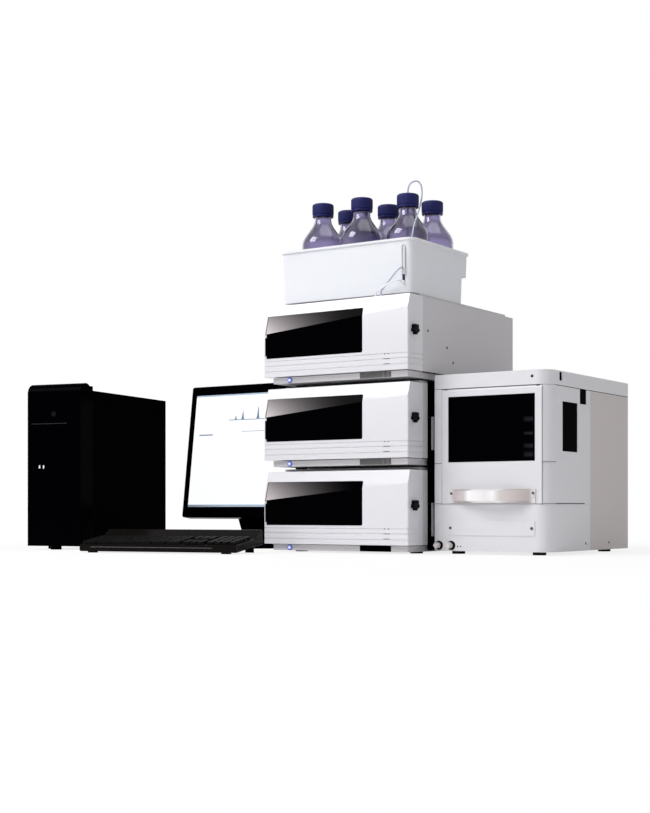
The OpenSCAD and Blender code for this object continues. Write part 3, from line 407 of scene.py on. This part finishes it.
def piece(name, bm, body, slot, mat=None, replaces=(), smooth=SHARP_ANGLE, weighted=False):
    """Turns a bmesh into a piece that rides on a body."""
    mesh = bpy.data.meshes.new(name)
    bm.normal_update()
    bm.to_mesh(mesh)
    bm.free()
    mesh.materials.append(mat or material(slot))
    mesh.shade_smooth()
    mesh.set_sharp_from_angle(angle=math.radians(smooth))
    obj = bpy.data.objects.new(name, mesh)
    bpy.context.scene.collection.objects.link(obj)
    if weighted:
        even = obj.modifiers.new("Even normals", "WEIGHTED_NORMAL")
        even.keep_sharp = True
    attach(obj, body)
    if replaces:
        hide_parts(*replaces)
    return obj


def cad_copy(node):
    """A bmesh of a node's mesh with its doubles merged and its flat faces joined."""
    bm = bmesh.new()
    bm.from_mesh(frame["nodes"][node].data)
    bmesh.ops.remove_doubles(bm, verts=bm.verts, dist=0.01 * MM)
    bmesh.ops.dissolve_limit(bm, angle_limit=math.radians(0.5), verts=bm.verts, edges=bm.edges)
    return bm


def bevel(bm, edges, offset, segments=2, clamp=True):
    bmesh.ops.bevel(bm, geom=list(edges), offset=offset, offset_type="OFFSET", segments=segments, profile=0.5,
                    affect="EDGES", clamp_overlap=clamp, material=-1)


def sharp_edges(bm, angle):
    return [e for e in bm.edges if e.is_manifold and e.calc_face_angle(0.0) > math.radians(angle)]


def soften(node, width, segments=2, smooth=SHARP_ANGLE, mat=None):
    """A node's own shape with its sharp edges rounded."""
    bm = cad_copy(node)
    bevel(bm, sharp_edges(bm, SHARP_ANGLE), width, segments)
    return piece(node + "_soft", bm, body_of(node), slot_of(node), mat=mat, replaces=[node], smooth=smooth,
                 weighted=True)


def revolve(bm, outline, centre, steps=64):
    """Spins an outline of (radius, height) points round an upright axis through centre."""
    verts = [bm.verts.new((centre.x + r, centre.y, centre.z + z)) for r, z in outline]
    edges = [bm.edges.new(pair) for pair in zip(verts, verts[1:])]
    bmesh.ops.spin(bm, geom=verts + edges, cent=centre, axis=(0, 0, 1), angle=2 * math.pi, steps=steps,
                   use_merge=True)
    bmesh.ops.remove_doubles(bm, verts=bm.verts, dist=0.005 * MM)
    bmesh.ops.recalc_face_normals(bm, faces=bm.faces)


def disc(bm, centre, radius, depth, normal, rim=0.0, segments=24):
    """A short cylinder whose outer face is at centre, looking along normal, with a rounded rim."""
    turn = Vector(normal).to_track_quat("Z", "Y").to_matrix().to_4x4()
    place = Matrix.Translation(Vector(centre) - Vector(normal) * depth / 2) @ turn
    made = bmesh.ops.create_cone(bm, cap_ends=True, segments=segments, radius1=radius, radius2=radius,
                                 depth=depth, matrix=place)
    if rim:
        top = Vector(centre).dot(normal)
        bevel(bm, {e for v in made["verts"] for e in v.link_edges
                   if all(abs(w.co.dot(normal) - top) < 0.01 * MM for w in e.verts)}, rim, clamp=False)


def collar(bm, centre, inner, outer, depth):
    """A flat ring standing depth forward of centre, round an axis that runs front to back."""
    rows, segments = [], 32
    for i in range(segments):
        a = 2 * math.pi * i / segments
        rows.append([bm.verts.new((centre.x + r * math.cos(a), centre.y + y, centre.z + r * math.sin(a)))
                     for r, y in ((inner, 0.3 * MM), (inner, -depth), (outer, -depth), (outer, 0.3 * MM))])
    for one, two in zip(rows, rows[1:] + rows[:1]):
        for i in range(3):
            bm.faces.new((one[i], one[i + 1], two[i + 1], two[i]))
    bmesh.ops.recalc_face_normals(bm, faces=bm.faces)


def slab(bm, low, high):
    """A box from its low and high corners."""
    size = Vector(high) - Vector(low)
    place = Matrix.Translation((Vector(low) + Vector(high)) / 2) @ Matrix.Diagonal((*size, 1.0))
    return bmesh.ops.create_cube(bm, size=1.0, matrix=place)["verts"]


def prism(bm, outline, run):
    """A solid made by running a flat outline along a vector."""
    side = bm.faces.new([bm.verts.new(point) for point in outline])
    made = bmesh.ops.extrude_face_region(bm, geom=[side])["geom"]
    bmesh.ops.translate(bm, verts=[g for g in made if isinstance(g, bmesh.types.BMVert)], vec=run)
    bmesh.ops.recalc_face_normals(bm, faces=bm.faces)


def plates(name, boxes, body, slot, place=None, mat=None):
    """A piece made of boxes, each given by its low and high corners."""
    bm = bmesh.new()
    for low, high in boxes:
        slab(bm, low, high)
    if place:
        bmesh.ops.transform(bm, matrix=place, verts=bm.verts)
    return piece(name, bm, body, slot, mat=mat)


# ---- Operators ----

class FinishSolids(bpy.types.Operator):
    """Gives every solid its finish"""
    bl_idname = "chromatography.finish_solids"
    bl_label = "Finish Solids"

    def execute(self, context):
        for slot, mat in make_materials(context.scene.set_finish).items():
            MATERIALS[slot] = mat.name
        for sub in frame["record"]["subparts"]:
            mesh = frame["nodes"][sub["node"]].data
            mesh.materials.clear()
            mesh.materials.append(material(sub["material_slot"]))
        return {"FINISHED"}


class SoftenHousings(bpy.types.Operator):
    """Rounds the edges of housings, doors and covers"""
    bl_idname = "chromatography.soften_housings"
    bl_label = "Soften Housings"

    def execute(self, context):
        edge, paint = context.scene.set_trim.edge, context.scene.set_finish
        for level in LEVELS:
            door = level + "_window_door"
            soften(level + "_front", 0.45 * edge, smooth=CREASE_ANGLE)
            soften(level + "_cover", 0.5 * edge)
            # Each window door's upper facet gets a painted reflection in its colour
            soften(door, 0.6 * edge, smooth=CREASE_ANGLE, mat=window_finish(door, paint))
            soften(level + "_chassis", 0.5 * edge)
            soften(level + "_valve_knob", 1.2 * edge)
        for node in ("sampler_housing", "sampler_rear_cover", "sampler_top_cover", "sampler_door",
                     "sampler_service_panel", "sampler_side_window"):
            soften(node, 0.5 * edge)
        soften("sampler_door_window", 0.5 * edge, mat=sampler_window_finish(paint.black))
        # The handle's bands of tone are a painted reflection
        soften("sampler_handle", 1.2 * edge, segments=3, mat=handle_finish())
        for node, share in (("tower_bezel", 0.9), ("tower_case", 0.5), ("monitor_housing", 1.2),
                            ("monitor_stand", 1.0)):
            soften(node, share * edge)
        return {"FINISHED"}


class MakeBottles(bpy.types.Operator):
    """Glass bottles with their solvent"""
    bl_idname = "chromatography.make_bottles"
    bl_label = "Bottles"

    def execute(self, context):
        wall = context.scene.set_trim.glass_wall
        liquid = clear_finish("Solvent", context.scene.set_finish.solvent, 1.34, 0.35)
        gap, meniscus = 0.05 * MM, 1.5 * MM
        for number in BOTTLES:
            node = f"bottle_{number}"
            centre, width, _, height = foot_of(node)
            radius = width / 2
            inner = self.outline(radius, height, wall)
            bm = bmesh.new()
            revolve(bm, self.outline(radius, height, 0.0) + inner[::-1], centre)
            piece(f"{node}_glass", bm, body_of(node), slot_of(node), replaces=[node], smooth=60.0)
            level = 0.93 * height
            bore = 2.4 * MM if number == TUBED else 0.0
            fill = [(max(r - gap, bore), z + gap) for r, z in inner if z < level]
            fill += [(fill[-1][0] - meniscus, level - 1 * MM), (bore, level - 1 * MM)]
            # Where the line dips in, the liquid is a ring round it
            if bore:
                fill.append(fill[0])
            bm = bmesh.new()
            revolve(bm, fill, centre)
            piece(f"{node}_solvent", bm, body_of(node), slot_of(node), mat=liquid, smooth=60.0)
        return {"FINISHED"}

    @staticmethod
    def outline(radius, height, inset):
        """Radius and height points of the glass from the middle of its floor to its mouth."""
        foot, neck = 8 * MM, 20 * MM
        side, neck_z = 142 * MM, 205 * MM
        bowed, lip = (5 * MM, -0.4 * MM) if inset else (3 * MM, 0.8 * MM)
        points = [(0.0, bowed), (0.45 * radius, bowed - 0.6 * MM), (radius - foot - 4 * MM, inset)]
        points += [(radius - foot + (foot - inset) * math.cos(math.radians(a)),
                    foot + (foot - inset) * math.sin(math.radians(a))) for a in range(-75, 1, 15)]
        for step in range(13):
            t = step / 12
            s = (1 - math.cos(math.pi * t)) / 2
            points.append((radius - inset - (radius - neck) * s, side + (neck_z - side) * t))
        points += [(neck - inset, height - 1 * MM), (neck - inset - lip, height)]
        return points


class MakeCaps(bpy.types.Operator):
    """Ribbed screw caps with their pouring rings"""
    bl_idname = "chromatography.make_caps"
    bl_label = "Caps"

    def execute(self, context):
        rib = context.scene.set_trim.cap_rib
        for number in BOTTLES:
            centre, _, depth, height = foot_of(f"cap_{number}")
            hole = 2.7 * MM if number == TUBED else 0.0
            self.cap(f"cap_{number}", centre, depth / 2 - 0.7 * MM, height, rib, hole)
        return {"FINISHED"}

    @staticmethod
    def cap(node, centre, radius, height, rib, hole):
        """A cap from its side's (in, up) and crown's (in, down) millimetres, ribbed above its ring."""
        ribs, steps, bore, ribs_from = 40, 160, 20.3 * MM, 7.5 * MM
        side = ((1, 0), (0, 0.6), (0, 4.7), (1.2, 5.1), (1.2, 5.9), (0, 6.5), (0, 8))
        crown = ((0, 6), (0.3, 3), (1.2, 1.2), (3, 0.2), (5, 0))
        under = height - 4 * MM
        outline = [(bore, 0.3 * MM)]
        outline += [(radius - inset * MM, up * MM) for inset, up in side]
        outline += [(radius - inset * MM, height - down * MM) for inset, down in crown]
        outline += [(hole, height), (hole, under), (bore, under), outline[0]]
        bm = bmesh.new()
        revolve(bm, outline, centre, steps)
        for vert in bm.verts:
            flat = Vector((vert.co.x - centre.x, vert.co.y - centre.y, 0.0))
            if flat.length > radius - 0.4 * MM and ribs_from < vert.co.z - centre.z < height - 2.5 * MM:
                wave = math.cos(ribs * math.atan2(flat.y, flat.x))
                vert.co += flat.normalized() * rib * (0.5 + 0.5 * wave)
        piece(f"{node}_ribbed", bm, body_of(node), slot_of(node), replaces=[node], smooth=40.0)


def smooth_route(points, steps=6):
    """Points along a rounded path through the route's points."""
    made = []
    count = len(points) - 1
    for i in range(count * steps + 1):
        k = min(i // steps, count - 1)
        f = i / steps - k
        a, b = points[max(k - 1, 0)], points[k]
        c, d = points[k + 1], points[min(k + 2, count)]
        made.append(0.5 * (2 * b + (c - a) * f + (2 * a - 5 * b + 4 * c - d) * f ** 2
                           + (3 * b - a - 3 * c + d) * f ** 3))
    return made


class MakeLines(bpy.types.Operator):
    """Clear solvent and drain lines"""
    bl_idname = "chromatography.make_lines"
    bl_label = "Lines"

    def execute(self, context):
        width = context.scene.set_trim.line_width
        start = centre_of(f"bottle_{TUBED}")
        start.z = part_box("solvent_tray")[0].z
        pale = finish("Pale line", (0.86, 0.86, 0.90), (0.15, 0.25), 900, 0.0, 0.03)
        for node, route in (("solvent_line", SOLVENT_ROUTE), ("drain_line", DRAIN_ROUTE)):
            points = smooth_route([start + Vector(p) * MM for p in route])
            curve = bpy.data.curves.new(node + "_tube", "CURVE")
            curve.dimensions = "3D"
            spline = curve.splines.new("POLY")
            spline.points.add(len(points) - 1)
            for at, p in zip(spline.points, points):
                at.co = (*p, 1.0)
            curve.bevel_depth = width / 2
            curve.bevel_resolution = 3
            curve.use_fill_caps = True
            curve.materials.append(material("clear_line") if node == "solvent_line" else pale)
            obj = bpy.data.objects.new(node + "_tube", curve)
            context.scene.collection.objects.link(obj)
            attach(obj, body_of(node))
            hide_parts(node)
        return {"FINISHED"}


class MakeKeyboard(bpy.types.Operator):
    """Keyboard with a gently sloping deck, a steeper rear panel and tapered keys"""
    bl_idname = "chromatography.make_keyboard"
    bl_label = "Keyboard"

    def execute(self, context):
        trim = context.scene.set_trim
        place, width, depth = turned("keyboard_case", trim.keyboard_turn)
        front, deck, back = 20 * MM, 33 * MM, 54 * MM
        reach = 5 * trim.key_pitch + 10 * MM
        self.case(place, width, depth, (front, deck, back, reach), trim.edge)
        tilt = Matrix.Translation((0, 0, front)) @ Matrix.Rotation(math.atan((deck - front) / reach), 4, "X")
        self.keys(place @ tilt, width, trim)
        return {"FINISHED"}

    @staticmethod
    def case(place, width, depth, form, edge):
        front, deck, back, reach = form
        outline = ((0, 6 * MM), (4 * MM, 3 * MM), (depth, 20 * MM), (depth, back - 4 * MM),
                   (depth - 4 * MM, back), (depth - 12 * MM, back), (reach, deck), (0, front))
        bm = bmesh.new()
        prism(bm, [(0, y, z) for y, z in outline], (width, 0, 0))
        bevel(bm, sharp_edges(bm, 20), 1.6 * edge)
        # A low front foot and a taller rear foot near each end
        for x in (20 * MM, width - 40 * MM):
            slab(bm, (x, 6 * MM, 0.0), (x + 20 * MM, 18 * MM, 8 * MM))
            slab(bm, (x, depth - 14 * MM, 0.0), (x + 20 * MM, depth - 8 * MM, 24 * MM))
        bmesh.ops.transform(bm, matrix=place, verts=bm.verts)
        # A pale strip along the case's front top edge is a painted highlight
        gloss = finish("Keyboard lip", (0.09, 0.085, 0.09), (0.15, 0.25), 900, 0.0, 0.1)
        lip = ((30 * MM, -0.3 * MM, 13 * MM), (width - 60 * MM, 0.5 * MM, 14.4 * MM))
        body, slot = body_of("keyboard_case"), slot_of("keyboard_case")
        plates("keyboard_highlight_strip", [lip], body, slot, place, gloss)
        shell = finish("Keyboard shell", (0.0060, 0.0052, 0.0048), (0.12, 0.20), 1500, 0.03, 0.1,
                       Specular_IOR_Level=0.04)
        piece("keyboard_case_form", bm, body, slot, mat=shell, replaces=["keyboard_case"], weighted=True)

    @staticmethod
    def keys(place, width, trim):
        pitch, gap, tall, taper = trim.key_pitch, 2.5 * MM, 7 * MM, trim.key_taper
        arrows, numbers, start = 14.4, 17.8, 8 * MM
        margin = (width - (numbers + 4) * pitch) / 2
        spans = [(col, row, 1) for row in range(1, 5) for col in range(14)]
        spans += [(0, 0, 2), (2, 0, 2), (4, 0, 6), (10, 0, 2), (12, 0, 2)]
        spans += [(arrows + col, row, 1) for row in range(5) for col in range(3) if row != 2]
        spans += [(numbers + col, row, 1) for row in range(5) for col in range(4)]
        bm = bmesh.new()
        for col, row, span in spans:
            x, y = margin + col * pitch, start + row * pitch
            wide, deep = span * pitch - gap, pitch - gap
            made = slab(bm, (x, y, 0.2 * MM), (x + wide, y + deep, tall))
            middle_x, middle_y = x + wide / 2, y + deep / 2
            for vert in (v for v in made if v.co.z > tall / 2):
                vert.co.x += taper if vert.co.x < middle_x else -taper
                vert.co.y += taper if vert.co.y < middle_y else -taper
        bevel(bm, sharp_edges(bm, 40), 0.5 * MM, segments=1)
        bmesh.ops.transform(bm, matrix=place, verts=bm.verts)
        piece("keyboard_keys_tapered", bm, body_of("keyboard_keys"), slot_of("keyboard_keys"),
              replaces=["keyboard_keys"], weighted=True)


class MakeNeck(bpy.types.Operator):
    """Wide tapered cheeks that close the monitor stand's neck"""
    bl_idname = "chromatography.make_neck"
    bl_label = "Stand Neck"

    def execute(self, context):
        centre = centre_of("monitor_stand")
        outline = [(half * MM, up * MM) for half, up in NECK_OUTLINE]
        outline += [(-half, up) for half, up in outline[::-1]]
        bm = bmesh.new()
        prism(bm, [(centre.x + x, centre.y - 0.4 * MM, z) for x, z in outline], (0, 26.8 * MM, 0))
        bevel(bm, bm.edges, 3 * MM, segments=3)
        piece("stand_neck_cheeks", bm, body_of("monitor_stand"), slot_of("monitor_stand"), weighted=True)
        return {"FINISHED"}


class MakeMarks(bpy.types.Operator):
    """Plain marks, screws, seams, small fittings and painted shade on the modules, autosampler, tray and
    tower
    """
    bl_idname = "chromatography.make_marks"
    bl_label = "Marks and Screws"

    def execute(self, context):
        trim = context.scene.set_trim
        ink = finish("Mark ink", (0.06, 0.06, 0.07), (0.4, 0.5), 900, 0.0, 0.05)
        steel = finish("Screw steel", (0.10, 0.095, 0.10), (0.35, 0.5), 1200, 0.1, 0.1, Metallic=0.6)
        for level in LEVELS:
            self.marks(level, ink)
            self.flank_screws(level, steel, trim.screw_head / 2)
        self.sampler_trim(steel, trim.screw_head / 2)
        self.tower_trim(trim.tower_turn)
        self.stack_trim()
        return {"FINISHED"}

    @staticmethod
    def sampler_trim(steel, head):
        """Screws on the handle and housing, notches in painted shade, dark dots, seams, and painted shadow
        discs behind the fittings.
        """
        low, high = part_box("sampler_housing")
        door_low, door_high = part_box("sampler_door")
        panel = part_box("sampler_service_panel")[0]
        on_handle, on_housing, dark = bmesh.new(), bmesh.new(), bmesh.new()

        def front_discs(bm, places, y, up, *sizes):
            for across in places:
                disc(bm, (low.x + across * MM, y, up * MM), *sizes)

        front_discs(on_handle, HANDLE_SCREWS, door_low.y - 4 * MM, HANDLE_SCREW_UP,
                    head, 5 * MM, FRONT, 0.4 * MM)
        front_discs(on_housing, PANEL_SCREWS, panel.y - 0.6 * MM, PANEL_SCREW_UP,
                    head, 1.6 * MM, FRONT, 0.4 * MM)
        for back in SIDE_SCREWS:
            disc(on_housing, (high.x + 0.3 * MM, low.y + back * MM, SIDE_SCREW_UP * MM),
                 head, 1.6 * MM, RIGHT, 0.2 * MM)
        piece("sampler_handle_screws", on_handle, body_of("sampler_handle"), "polished_steel", mat=steel)
        piece("sampler_screws", on_housing, body_of("sampler_housing"), "polished_steel", mat=steel)
        for back, deep, bottom, tall in SIDE_OPENINGS:
            start = low.y + back * MM
            slab(dark, (high.x - 1 * MM, start, bottom * MM),
                 (high.x + 0.2 * MM, start + deep * MM, (bottom + tall) * MM))
        # Dark discs behind the fittings are painted shadow
        front_discs(dark, FITTING_SHADOWS, low.y - 0.3 * MM, FITTING_SHADOW_UP, 10.5 * MM, 1 * MM, FRONT)
        front_discs(dark, DOTS, low.y - 0.2 * MM, DOT_UP, 1.6 * MM, 1 * MM, FRONT)
        rim, clear, proud, tall = 33 * MM, 0.5 * MM, 0.15 * MM, 0.9 * MM
        first = math.asin((door_high.x + clear - (high.x - rim)) / rim)
        # The seams run round the housing's rounded right corner, from the door's edge to the flank
        arc = [first + (math.pi / 2 - first) * i / 12 for i in range(13)]
        for z in (up * MM for up in FRONT_SEAMS):
            slab(dark, (low.x + 2 * MM, low.y - proud, z), (door_low.x - clear, low.y + 0.5 * MM, z + tall))
            rows = [[dark.verts.new((high.x - rim + (rim + proud) * math.sin(a),
                                     low.y + rim - (rim + proud) * math.cos(a), z + up)) for up in (0, tall)]
                    for a in arc]
            for one, two in zip(rows, rows[1:]):
                dark.faces.new((one[0], two[0], two[1], one[1]))
        piece("sampler_shade_seams_and_dots", dark, body_of("sampler_housing"), "gloss_black")

    @staticmethod
    def tower_trim(turn):
        """Bright tongues inside the tower's two front sockets, and the seam of its drive bay."""
        place, body = turned("tower_bezel", turn)[0], body_of("tower_bezel")
        bottom, top = (up * MM for up in TONGUE_UP)
        tongues = [((x * MM, 1.0 * MM, bottom), ((x + TONGUE_WIDTH) * MM, 2.0 * MM, top))
                   for x in TONGUES_ACROSS]
        metal = finish("Socket tongue", (0.85, 0.83, 0.84), (0.3, 0.4), 900, 0.0, 0.02)
        plates("tower_tongues", tongues, body, "polished_steel", place, metal)
        bay = [(x * MM, y * MM, z * MM) for x, y, z in zip(BAY_SEAM_ACROSS, (-0.2, 0.5), BAY_SEAM_UP)]
        seam = finish("Bay seam", (0.006, 0.006, 0.006), (0.3, 0.4), 900, 0.0, 0.02)
        plates("tower_seam", [bay], body, "tower_black", place, seam)

    @staticmethod
    def stack_trim():
        """The painted shade beside the autosampler, the tray's slot, the pans' recesses painted as shade, and
        their buttons' rings.
        """
        # The recess slabs and their ribs are painted shade, darker than the pan
        recess = finish("Pan recess", (0.11, 0.105, 0.105), (0.4, 0.5), 900, 0.05, 0.05)
        line = finish("Recess rib", (0.24, 0.23, 0.23), (0.4, 0.5), 900, 0.05, 0.05)
        ring = finish("Button ring", (0.012, 0.014, 0.09), (0.2, 0.3), 900, 0.0, 0.02)
        core = glow("Button core", (0.72, 0.80, 1.0), 1.0, 0.9)
        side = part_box("lower_front")[1].x
        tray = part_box("solvent_tray")[0]
        # This dark strip is painted shade between the stack and the autosampler
        shade_strip = zip((side - 0.5 * MM, side + 0.3 * MM), SHADE_STRIP_Y, SHADE_STRIP_Z)
        plates("gap_shade_strip", [[(x, y * MM, z * MM) for x, y, z in shade_strip]], "base", "rubber",
               mat=material("tower_black"))
        slot = zip(TRAY_SLOT_X, (tray.y + 1.2 * MM, tray.y + 2.2 * MM), TRAY_SLOT_Z)
        plates("tray_slot_strip", [[(x * MM, y, z * MM) for x, y, z in slot]], "base", "tray_white",
               mat=finish("Slot strip", (0.66, 0.64, 0.68)))
        for level in LEVELS:
            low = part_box(level + "_chassis")[0]
            bottom, top = (low.z + up * MM for up in RECESS_UP)
            left, right = (x * MM for x in RECESS_X)
            recess_shade = ((left, low.y - 0.3 * MM, bottom), (right, low.y + 0.5 * MM, top))
            # The lowest recess is painted in deeper shade, black
            plates(level + "_pan_recess_shade", [recess_shade], "base", "pan_grey",
                   mat=material("tower_black") if level == "lower" else recess)
            if level != "lower":
                ribs = [((x * MM, low.y - 0.6 * MM, bottom), ((x + RIB_WIDTH) * MM, low.y, top))
                        for x in RIBS_X]
                plates(level + "_pan_rib", ribs, "base", "pan_grey", mat=line)
            button = level + "_power_button"
            centre, face = centre_of(button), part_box(button)[0].y
            bm = bmesh.new()
            collar(bm, Vector((centre.x, low.y, centre.z)), 5.4 * MM, 7 * MM, 0.3 * MM)
            piece(level + "_button_ring", bm, "base", "black_plastic", mat=ring)
            bm = bmesh.new()
            disc(bm, (centre.x, face - 0.2 * MM, centre.z), 2.2 * MM, 1 * MM, FRONT)
            piece(level + "_button_core", bm, body_of(button), "lit_button", mat=core)

    @staticmethod
    def marks(level, ink):
        """Two bars and a pair of dots near the right end of a module's front."""
        low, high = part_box(level + "_front")
        x, y, half, tall = high.x - 57 * MM, low.y, 8.5 * MM, 1.3 * MM
        bm = bmesh.new()
        for z in (low.z + up * MM for up in (13.8, 25.2)):
            slab(bm, (x - half, y - 0.15 * MM, z), (x + half, y + 0.3 * MM, z + tall))
        for side in (-5, 5):
            disc(bm, (x + side * MM, y - 0.3 * MM, low.z + 37 * MM), 1.4 * MM, 1.2 * MM, FRONT, 0.3 * MM, 16)
        piece(level + "_marks", bm, "base", "black_plastic", mat=ink)

    @staticmethod
    def flank_screws(level, steel, head):
        low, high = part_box(level + "_front")
        bm = bmesh.new()
        for back, up in FLANK_SCREWS:
            disc(bm, (high.x + 0.6 * MM, low.y + back * MM, low.z + up * MM), head, 1.6 * MM, RIGHT, 0.4 * MM)
        piece(level + "_flank_screws", bm, "base", "polished_steel", mat=steel)


class MakeScreen(bpy.types.Operator):
    """A plain chart of peaks on the lit screen"""
    bl_idname = "chromatography.make_screen"
    bl_label = "Screen Chart"

    def execute(self, context):
        ink = finish("Chart ink", (0.10, 0.20, 0.34), (0.4, 0.5), 200, 0.0, 0.1)
        pale = finish("Chart frame", (0.42, 0.55, 0.70), (0.4, 0.5), 200, 0.0, 0.1)
        frame_bars = ((0.0, 1.0, 0.985, 1.0), (0.0, 1.0, 0.0, 0.018))
        page_bars = ((0.05, 0.17, 0.635, 0.645), (0.42, 0.90, 0.660, 0.664))
        origin, across, upward = self.plane()
        for name, shapes, mat in (("screen_bars", self.bars(frame_bars), pale),
                                  ("screen_chart", self.bars(page_bars) + self.peaks(), ink)):
            bm = bmesh.new()
            for shape in shapes:
                bm.faces.new([bm.verts.new(origin + across * u + upward * v) for u, v in shape])
            piece(name, bm, "monitor", "screen_white", mat=mat)
        return {"FINISHED"}

    @staticmethod
    def plane():
        """The lower left corner of a page just proud of the screen, with its width and height as vectors."""
        low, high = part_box("monitor_screen")
        bm = cad_copy("monitor_screen")
        face = min(bm.faces, key=lambda f: f.normal.y)
        normal = face.normal.copy()
        origin = min((v.co for v in face.verts), key=lambda c: c.x + c.z) + normal * 0.15 * MM
        bm.free()
        right = Vector(RIGHT)
        up = normal.cross(right).normalized()
        return origin, right * (high.x - low.x), up * (high.z - low.z) / up.z

    @staticmethod
    def bars(spans):
        return [((u0, v0), (u1, v0), (u1, v1), (u0, v1)) for u0, u1, v0, v1 in spans]

    def peaks(self):
        """Narrow filled peaks standing apart on a baseline."""
        foot, steps = 0.77, 8
        shapes = self.bars([(0.30, 0.92, foot - 0.006, foot)])
        for centre, height, width in ((0.36, 0.035, 0.004), (0.42, 0.075, 0.005), (0.55, 0.11, 0.005),
                                      (0.63, 0.03, 0.006), (0.78, 0.06, 0.007), (0.86, 0.02, 0.008)):
            spots = [3 * step / steps for step in range(steps, -steps - 1, -1)]
            shapes.append([(centre + width * t, foot + height * math.exp(-t ** 2 / 2)) for t in spots])
        return shapes


class SetStage(bpy.types.Operator):
    """Pale floor, soft lights and the camera"""
    bl_idname = "chromatography.set_stage"
    bl_label = "Stage"

    def execute(self, context):
        scene, stage = context.scene, context.scene.set_stage
        self.camera(scene, stage)
        self.floor(scene)
        self.world(scene, stage.sky)
        centre = Vector((0.1, -0.1, 0.4))
        self.area("key_light", centre + Vector((-2.3, -3.4, 3.6)), centre, 3.0, stage.key_power)
        self.area("top_light", centre + Vector((0.3, 0.4, 3.2)), centre, 2.5, 0.15 * stage.key_power)
        scene.view_settings.view_transform = "Standard"
        return {"FINISHED"}

    @staticmethod
    def camera(scene, stage):
        data = bpy.data.cameras.new("camera")
        data.lens = stage.lens
        data.sensor_width = 36.0
        data.shift_y = stage.rise
        data.clip_end = 60.0
        cam = bpy.data.objects.new("camera", data)
        scene.collection.objects.link(cam)
        low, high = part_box("lower_front")
        cam.location = Vector((high.x, low.y, 0.0)) + Vector(stage.stand_off)
        cam.rotation_euler = (math.pi / 2, 0.0, stage.turn)
        scene.camera = cam

    @staticmethod
    def floor(scene):
        bm = bmesh.new()
        bmesh.ops.create_grid(bm, x_segments=1, y_segments=1, size=20.0)
        mesh = bpy.data.meshes.new("floor")
        bm.to_mesh(mesh)
        bm.free()
        floor = bpy.data.objects.new("floor", mesh)
        scene.collection.objects.link(floor)
        mat, tree, shader = blank_material("Pale floor")
        feed(tree, shader, {"Base Color": (0.95, 0.95, 0.95, 1.0), "Roughness": 0.6})
        place = add(tree, "ShaderNodeTexCoord").outputs["Object"]
        away = add(tree, "ShaderNodeVectorMath", {0: place}, operation="LENGTH").outputs["Value"]
        spread = add(tree, "ShaderNodeMapRange", {"Value": away, "From Min": 0.9, "From Max": 1.7,
                                                  "To Min": 0.80, "To Max": 1.0}).outputs["Result"]
        seen = add(tree, "ShaderNodeLightPath").outputs["Is Camera Ray"]
        shine = add(tree, "ShaderNodeEmission", {"Color": (1, 1, 1, 1)})
        mix = add(tree, "ShaderNodeMixShader", {0: calc(tree, "MULTIPLY", seen, spread),
                                                1: shader.outputs[0], 2: shine.outputs[0]})
        feed(tree, tree.nodes["Material Output"], {"Surface": mix.outputs[0]})
        mesh.materials.append(mat)

    @staticmethod
    def world(scene, level):
        world = bpy.data.worlds.new("Studio")
        world.use_nodes = True
        tree = world.node_tree
        rays = add(tree, "ShaderNodeLightPath").outputs
        seen = calc(tree, "MAXIMUM", rays["Is Camera Ray"], rays["Is Transmission Ray"])
        strength = add(tree, "ShaderNodeMapRange", {"Value": seen, "To Min": level, "To Max": 1.0})
        feed(tree, tree.nodes["Background"], {"Color": (1, 1, 1, 1), "Strength": strength.outputs["Result"]})
        scene.world = world

    @staticmethod
    def area(name, place, target, size, power):
        data = bpy.data.lights.new(name, "AREA")
        data.energy = power
        data.size = size
        lamp = bpy.data.objects.new(name, data)
        bpy.context.scene.collection.objects.link(lamp)
        lamp.location = place
        lamp.rotation_euler = (target - place).to_track_quat("-Z", "Y").to_euler()


PIECES = (FinishSolids, SoftenHousings, MakeBottles, MakeCaps, MakeLines, MakeKeyboard, MakeNeck, MakeMarks,
          MakeScreen)


class ChromatographyPanel(bpy.types.Panel):
    """Buttons for the set's pieces and stage"""
    bl_idname = "VIEW3D_PT_chromatography"
    bl_label = "Chromatography Set"
    bl_space_type = "VIEW_3D"
    bl_region_type = "UI"
    bl_category = "Chromatography"

    def draw(self, context):
        for operator in (*PIECES, SetStage):
            self.layout.operator(operator.bl_idname)
        for group in (context.scene.set_finish, context.scene.set_trim, context.scene.set_stage):
            box = self.layout.box()
            for name in group.bl_rna.properties.keys():
                if name not in ("rna_type", "name"):
                    box.prop(group, name)


SETTINGS = {"set_finish": FinishSettings, "set_trim": TrimSettings, "set_stage": StageSettings}
CLASSES = (*SETTINGS.values(), *PIECES, SetStage, ChromatographyPanel)


def register():
    for cls in CLASSES:
        bpy.utils.register_class(cls)
    for name, group in SETTINGS.items():
        setattr(bpy.types.Scene, name, bpy.props.PointerProperty(type=group))


def unregister():
    for name in SETTINGS:
        delattr(bpy.types.Scene, name)
    for cls in reversed(CLASSES):
        bpy.utils.unregister_class(cls)


def main():
    register()
    for operator in (*PIECES, SetStage):
        family, name = operator.bl_idname.split(".")
        getattr(getattr(bpy.ops, family), name)()


if __name__ == "__main__":
    main()
